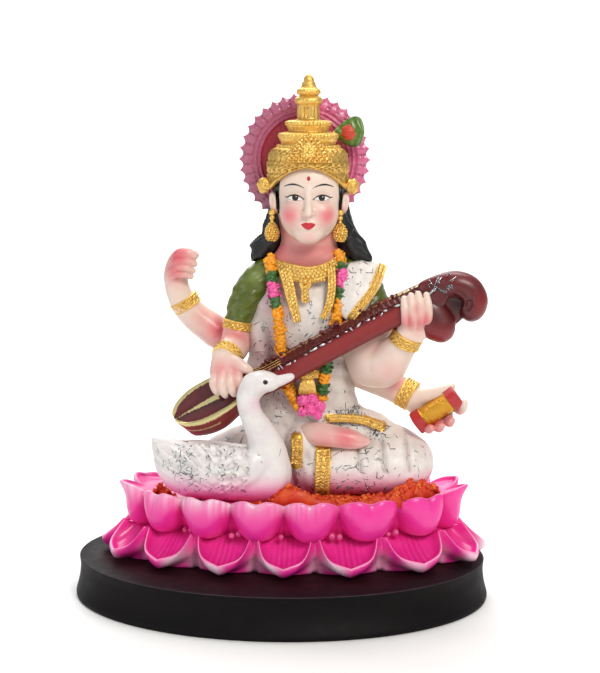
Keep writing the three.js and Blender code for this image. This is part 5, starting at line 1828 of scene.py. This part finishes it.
def veena_scroll():
    """The carved head of the veena: a thick hook curling over a round lobe, a thin web between."""
    clay = Clay((49, -22, 110), (93, -7, 150), 0.58)
    middle = -14.8
    clay.limb([[60, middle, 137, 4.4, 2.4], [66, middle, 139, 5, 3.2], [72.6, middle, 140.6, 5.2, 5],
        [78.6, middle, 138.8, 5.2, 5.2], [81.6, middle, 133.8, 5, 5.2], [80.6, middle, 129.8, 4.6, 5],
        [79.4, middle, 128.6, 3.2, 4.4]], 0, 1)
    clay.limb([[58, middle, 131, 6.4, 3.4], [62.4, middle, 127.6, 7.6, 4.8],
        [66.6, middle, 122.6, 6.9, 5.2], [66.8, middle, 121.8, 6.4, 5]], 1, 1)
    clay.add(ball((70, middle + 1.6, 130.6), (8.2, 2.4, 8.4)), 1)
    clay.limb([[74.4, -19.2, 137.4, 1.3], [76.6, -19.4, 134.6, 1.2], [76.4, -19, 131.6, 1],
        [74.6, -18.2, 130.4, 0.8]], 1.2)
    clay.cut(ball((73.6, -20.2, 132.4), (2.9, 4.2, 3.6), (0, 30, 0)), 1.4)
    clay.cut(ball((78.6, -21.4, 132), (1.6, 3, 3.2), (0, 20, 0)), 1.2)
    shape = clay.fired()
    x, y, z = shape[0].T
    # Painted shade in the recess of the hook, and painted highlights on the lower lobe, the hook's outer
    # curve and its top
    hook_shade = 0.7 * np.exp(-((x - 73.6) ** 2 + (z - 131.4) ** 2) / 16) * (y < -10) * ramp(y, -19, -16)
    crimson_highlight = np.maximum.reduce([0.7 * ramp(z, 127, 118), 0.6 * ramp(x, 78, 85) * ramp(z, 142, 134),
            0.3 * ramp(z, 138, 145)])
    piece("veena_scroll", shape, maroon_lacquer, "veena", {
        "crimson_highlight": np.clip(crimson_highlight, 0, 1),
        "hollow": np.clip(hollow_mask(shape, 1.3, 4, 0.8) + hook_shade, 0, 1),
        "trim": -1,
    })
    near = (y < -16) * (np.hypot(x - 67, z - 141.5) < 5.5)
    glitter("scroll_glitter", shape, "veena", 40, near)


veena_body()
veena_details()
veena_scroll()


# Swan

def swan():
    """The swan: a full breast, a folded wing of carved feathers and a raised neck."""
    clay = Clay((-58, -36, 45), (10, -3, 107), 0.66)

    def feathers(x, y, z):
        back = -(x + 8.6 + 0.028 * (z - 62.5) ** 2)  # how far behind the leading edge of the wing
        wing = ramp(back, 3.0, 5.0) * ramp(y, -15, -19) * ramp(z, 48.5, 54)
        row = np.floor(back / 5.2)
        lane = (z - 50 + 0.3 * back + 0.8 * np.sin(back * 0.5)) / 5.0 + 0.5 * (row % 2)
        fringe = back / 5.2 + 0.3 * np.cos(math.tau * lane) + 0.14 * np.sin(x * 0.7 + z * 1.1)
        tufts = 1.9 * (fringe - np.floor(fringe)) ** 1.6 - 0.8
        quill = (z + 0.62 * x + 0.6 * np.sin(x * 0.35)) / 4.2
        quills = 1.6 * (quill - np.floor(quill)) ** 1.5 - 0.6
        far = ramp(back, 20, 27)
        smooth = 1 - 0.7 * np.exp(-((x + 31) / 5) ** 2 - ((z - 58) / 7) ** 2)
        barb = 0.12 * np.sin(lane * 20) + 0.1 * np.sin(z * 2.4 + x * 1.4)
        dip = 1.4 * hump(back - 4.6, 1.5) * ramp(z, 56, 60)
        return ((tufts * (1 - far) + quills * far) * smooth + barb) * wing - dip * ramp(y, -15, -19)

    clay.limb([[-54.6, -16, 72.4, 0.9, 1.2], [-48.4, -16.6, 66.4, 4.4, 7.4], [-41, -17, 60.4, 8, 11.8],
        [-30, -17.4, 59.2, 9.8, 12.6], [-18, -18, 58.6, 10, 12], [-8, -18.6, 58, 9.2, 12.2],
        [-3.4, -19, 59.4, 7.8, 10.4]], 0, 1, flat=UP)
    clay.limb([[-51, -17, 68.6, 3.6, 2.6], [-46, -18.6, 63.8, 7.4, 4.4], [-38, -21, 61.6, 9.6, 5.4],
        [-27, -23.6, 61.2, 10.6, 5.6], [-18, -24.8, 61.8, 9.8, 5.4], [-12.6, -25.2, 62.4, 7.4, 4.8],
        [-10, -25, 62.6, 5.4, 3.8], [-8.9, -24.6, 62.6, 3.4, 2.6]], 0.4, 1, feathers)
    clay.limb([[-4.6, -19.6, 62, 8.8, 7.6], [-5.6, -20.8, 70, 7.6, 6.4], [-8.6, -22.6, 78, 5.9, 5.2],
        [-12.2, -25, 85.6, 4.7, 4.6], [-13.4, -26.8, 93, 4.7, 4.6], [-10.9, -27.6, 98.8, 5.2, 4.7]],
            2.5, 0.6)
    clay.limb([[-11, -27.6, 98.6, 5.2, 4.6], [-8, -27.8, 100.1, 5.3, 4.7], [-4, -27.8, 100.2, 4.4, 3.8]],
            1.5, 0.6, flat=UP)
    clay.limb([[-3, -27.8, 100.2, 2.9, 2.3], [0.4, -27.8, 101, 2.2, 2], [2.6, -27.8, 101.7, 2.3, 1.8],
        [4.8, -27.8, 102.5, 1.8, 1.4]], 0.6, 0.4, flat=UP)
    clay.limb([[-3, -27.8, 98.4, 2.2, 1.3], [1.4, -27.8, 99.8, 1.5, 0.8]], 0.6, flat=UP)
    clay.cut(limb([[0, -31, 100.2, 0.25], [3.8, -31, 101.4, 0.2]]), 0.3)
    clay.trim_below(SEAT + 0.4)
    shape = clay.fired()
    points = shape[0]
    eye = 1.05 - np.hypot(points[:, 0] + 5.8, points[:, 2] - 101.0)
    piece("swan", shape, white_swan_enamel, "swan", {
        "hollow": hollow_mask(shape, 1.5, 3, 0.75),
        "rose": np.clip(ramp(points[:, 2], 62, 48) + spots(points, [(-8, -30, 91, 4, 0.2)]), 0, 1),
        "eye": np.where(points[:, 1] < -29, eye, np.where(points[:, 1] > -26.4, eye, -1)),
    })
    dense = spots(points, [(-42, -24, 64, 5, 2.0), (-36, -26, 58, 5, 1.6), (-26, -28, 62, 6, 0.5)])
    facing = (points[:, 1] < -18) * (points[:, 2] < 76)
    glitter("swan_glitter", shape, "swan", 150, (0.06 + dense) * facing)


swan()


# Halo

def halo():
    """The halo: pleats between a raised ring and a saw-toothed edge, a smooth red middle."""
    centre_x, centre_z, near, far = 8.5, 190.7, 15.4, 18.6
    outer, root, teeth = 28.7, 27.0, 36
    sides = teeth * 6
    turn = turns(sides)
    tooth = (turn * teeth / math.tau) % 1
    edge = root + (outer - root) * np.abs(2 * tooth - 1) ** 2
    shares = np.concatenate([np.linspace(0.02, 0.62, 12), np.linspace(0.64, 0.8, 22),
            np.linspace(0.81, 1.0, 18)])

    def face(depth, side):
        rings = []
        for share in shares:
            reach = share * (outer + (edge - outer) * ramp(share, 0.84, 1.0))
            ring = sum(0.8 * hump(reach - at, 0.5) for at in (19.4, 21.3))
            pleat = 0.7 * np.abs(np.cos(math.pi * tooth)) * ramp(reach, 22.0, 23.2)
            beside = np.hypot(reach - 24.4, (tooth - 0.5) * 4.4)
            circle = 0.5 * hump(beside - 1.0, 0.35)
            fall = 1.0 * ramp(reach, 23, 28.7)
            relief = (0.4 + ring + pleat + circle - fall) * side
            rings.append(np.stack([centre_x + np.cos(turn) * reach, depth - relief,
                    centre_z + np.sin(turn) * reach], 1))
        return rings

    rings = face(near + 1.0, 1) + face(far - 0.4, -0.3)[::-1]
    points, faces = loops(rings)
    shape = points, [part[:, ::-1] for part in faces]
    x, _, z = points.T
    reach = np.hypot(x - centre_x, z - centre_z)
    angle = np.arctan2(z - centre_z, x - centre_x)
    streak = seeded.random(90)[((angle + math.pi) / math.tau * 89).astype(int)]
    # The left side carries painted shade and the right side painted light
    left = ramp(x, 16, -6)
    dirt = seeded.random(len(x)) * 0.3
    piece("halo", shape, halo_resin, "halo", {
        # The dark red middle, deepened toward the left by painted shade
        "centre": ramp(reach, 20.4, 18.6) * (0.3 + 0.7 * left),
        "pale": (1 - left) * ramp(reach, 17, 21) * (0.15 + 0.7 * streak),
        "grey": left * ramp(reach, 18.6, 20.4) * 0.9 * (1 - dirt),
        "hollow": np.clip(hollows(*shape, 3) * 2.4 + dirt * 0.3, 0, 0.7),
    })


halo()


# Floor, light and camera

def floor():
    """A pale sweep that curves up behind."""
    profile = smooth_rows([[-1.6, 0], [-0.6, 0], [0.5, 0], [1.2, 0.0], [1.7, 0.16], [2.0, 0.8],
        [2.05, 1.8]], 8)
    half = 3.0
    points = [(side * half, y, z) for y, z in profile for side in (-1, 1)]
    faces = [(2 * i, 2 * i + 1, 2 * i + 3, 2 * i + 2) for i in range(len(profile) - 1)]
    mesh = bpy.data.meshes.new("floor")
    mesh.from_pydata(points, [], faces)
    mesh.polygons.foreach_set("use_smooth", [True] * len(faces))
    mesh.update()
    paper = bpy.data.materials.new("pale_paper")
    paper.use_nodes = True
    shader = paper.node_tree.nodes["Principled BSDF"]
    shader.inputs["Base Color"].default_value = linear("f4f3f2")
    shader.inputs["Roughness"].default_value = 0.8
    mesh.materials.append(paper)
    made = bpy.data.objects.new("floor", mesh)
    bpy.context.scene.collection.objects.link(made)


def lamp(name, place, aim, size, power, tint="ffffff"):
    data = bpy.data.lights.new(name, "AREA")
    data.shape = "DISK"
    data.size = size
    data.energy = power
    data.color = linear(tint)[:3]
    made = bpy.data.objects.new(name, data)
    made.location = place
    made.rotation_euler = (Vector(aim) - Vector(place)).to_track_quat("-Z", "Y").to_euler()
    bpy.context.scene.collection.objects.link(made)


def studio():
    world = bpy.data.worlds.new("studio")
    world.use_nodes = True
    sky = world.node_tree.nodes["Background"]
    sky.inputs["Color"].default_value = linear("f2f4f7")
    sky.inputs["Strength"].default_value = 0.4
    bpy.context.scene.world = world
    middle = (0.0, 0.0, 0.11)
    lamp("key", (0.42, -0.8, 0.85), middle, 0.42, 7.4, "fffaf2")
    lamp("fill", (-0.8, -0.6, 0.35), middle, 0.8, 2.0, "f2f6ff")
    lamp("back", (-0.2, 0.8, 0.7), middle, 0.6, 2.5)
    lamp("sweep", (0.0, 0.55, 1.3), (0.0, 1.6, 0.2), 1.2, 26.0)
    bpy.context.scene.view_settings.view_transform = "Standard"


def camera():
    """The photograph's view: a little to the right, a little above, from far off."""
    image_height, focal_pixels, sensor = 673, 1520, 36
    aim = Vector((7.5, 0, 115)) * MM
    azimuth, elevation, roll = math.radians(1.6), math.radians(9.3), math.radians(0.4)
    back = Vector((math.sin(azimuth) * math.cos(elevation), -math.cos(azimuth) * math.cos(elevation),
            math.sin(elevation)))
    data = bpy.data.cameras.new("photo_view")
    data.sensor_width = sensor
    data.lens = sensor * focal_pixels / image_height
    data.clip_start = 0.01
    made = bpy.data.objects.new("photo_view", data)
    made.location = aim + back * 0.66
    look = (-back).to_track_quat("-Z", "Y").to_matrix()
    made.rotation_euler = (look @ Matrix.Rotation(roll, 3, "Z")).to_euler()
    bpy.context.scene.collection.objects.link(made)
    bpy.context.scene.camera = made


floor()
studio()
camera()
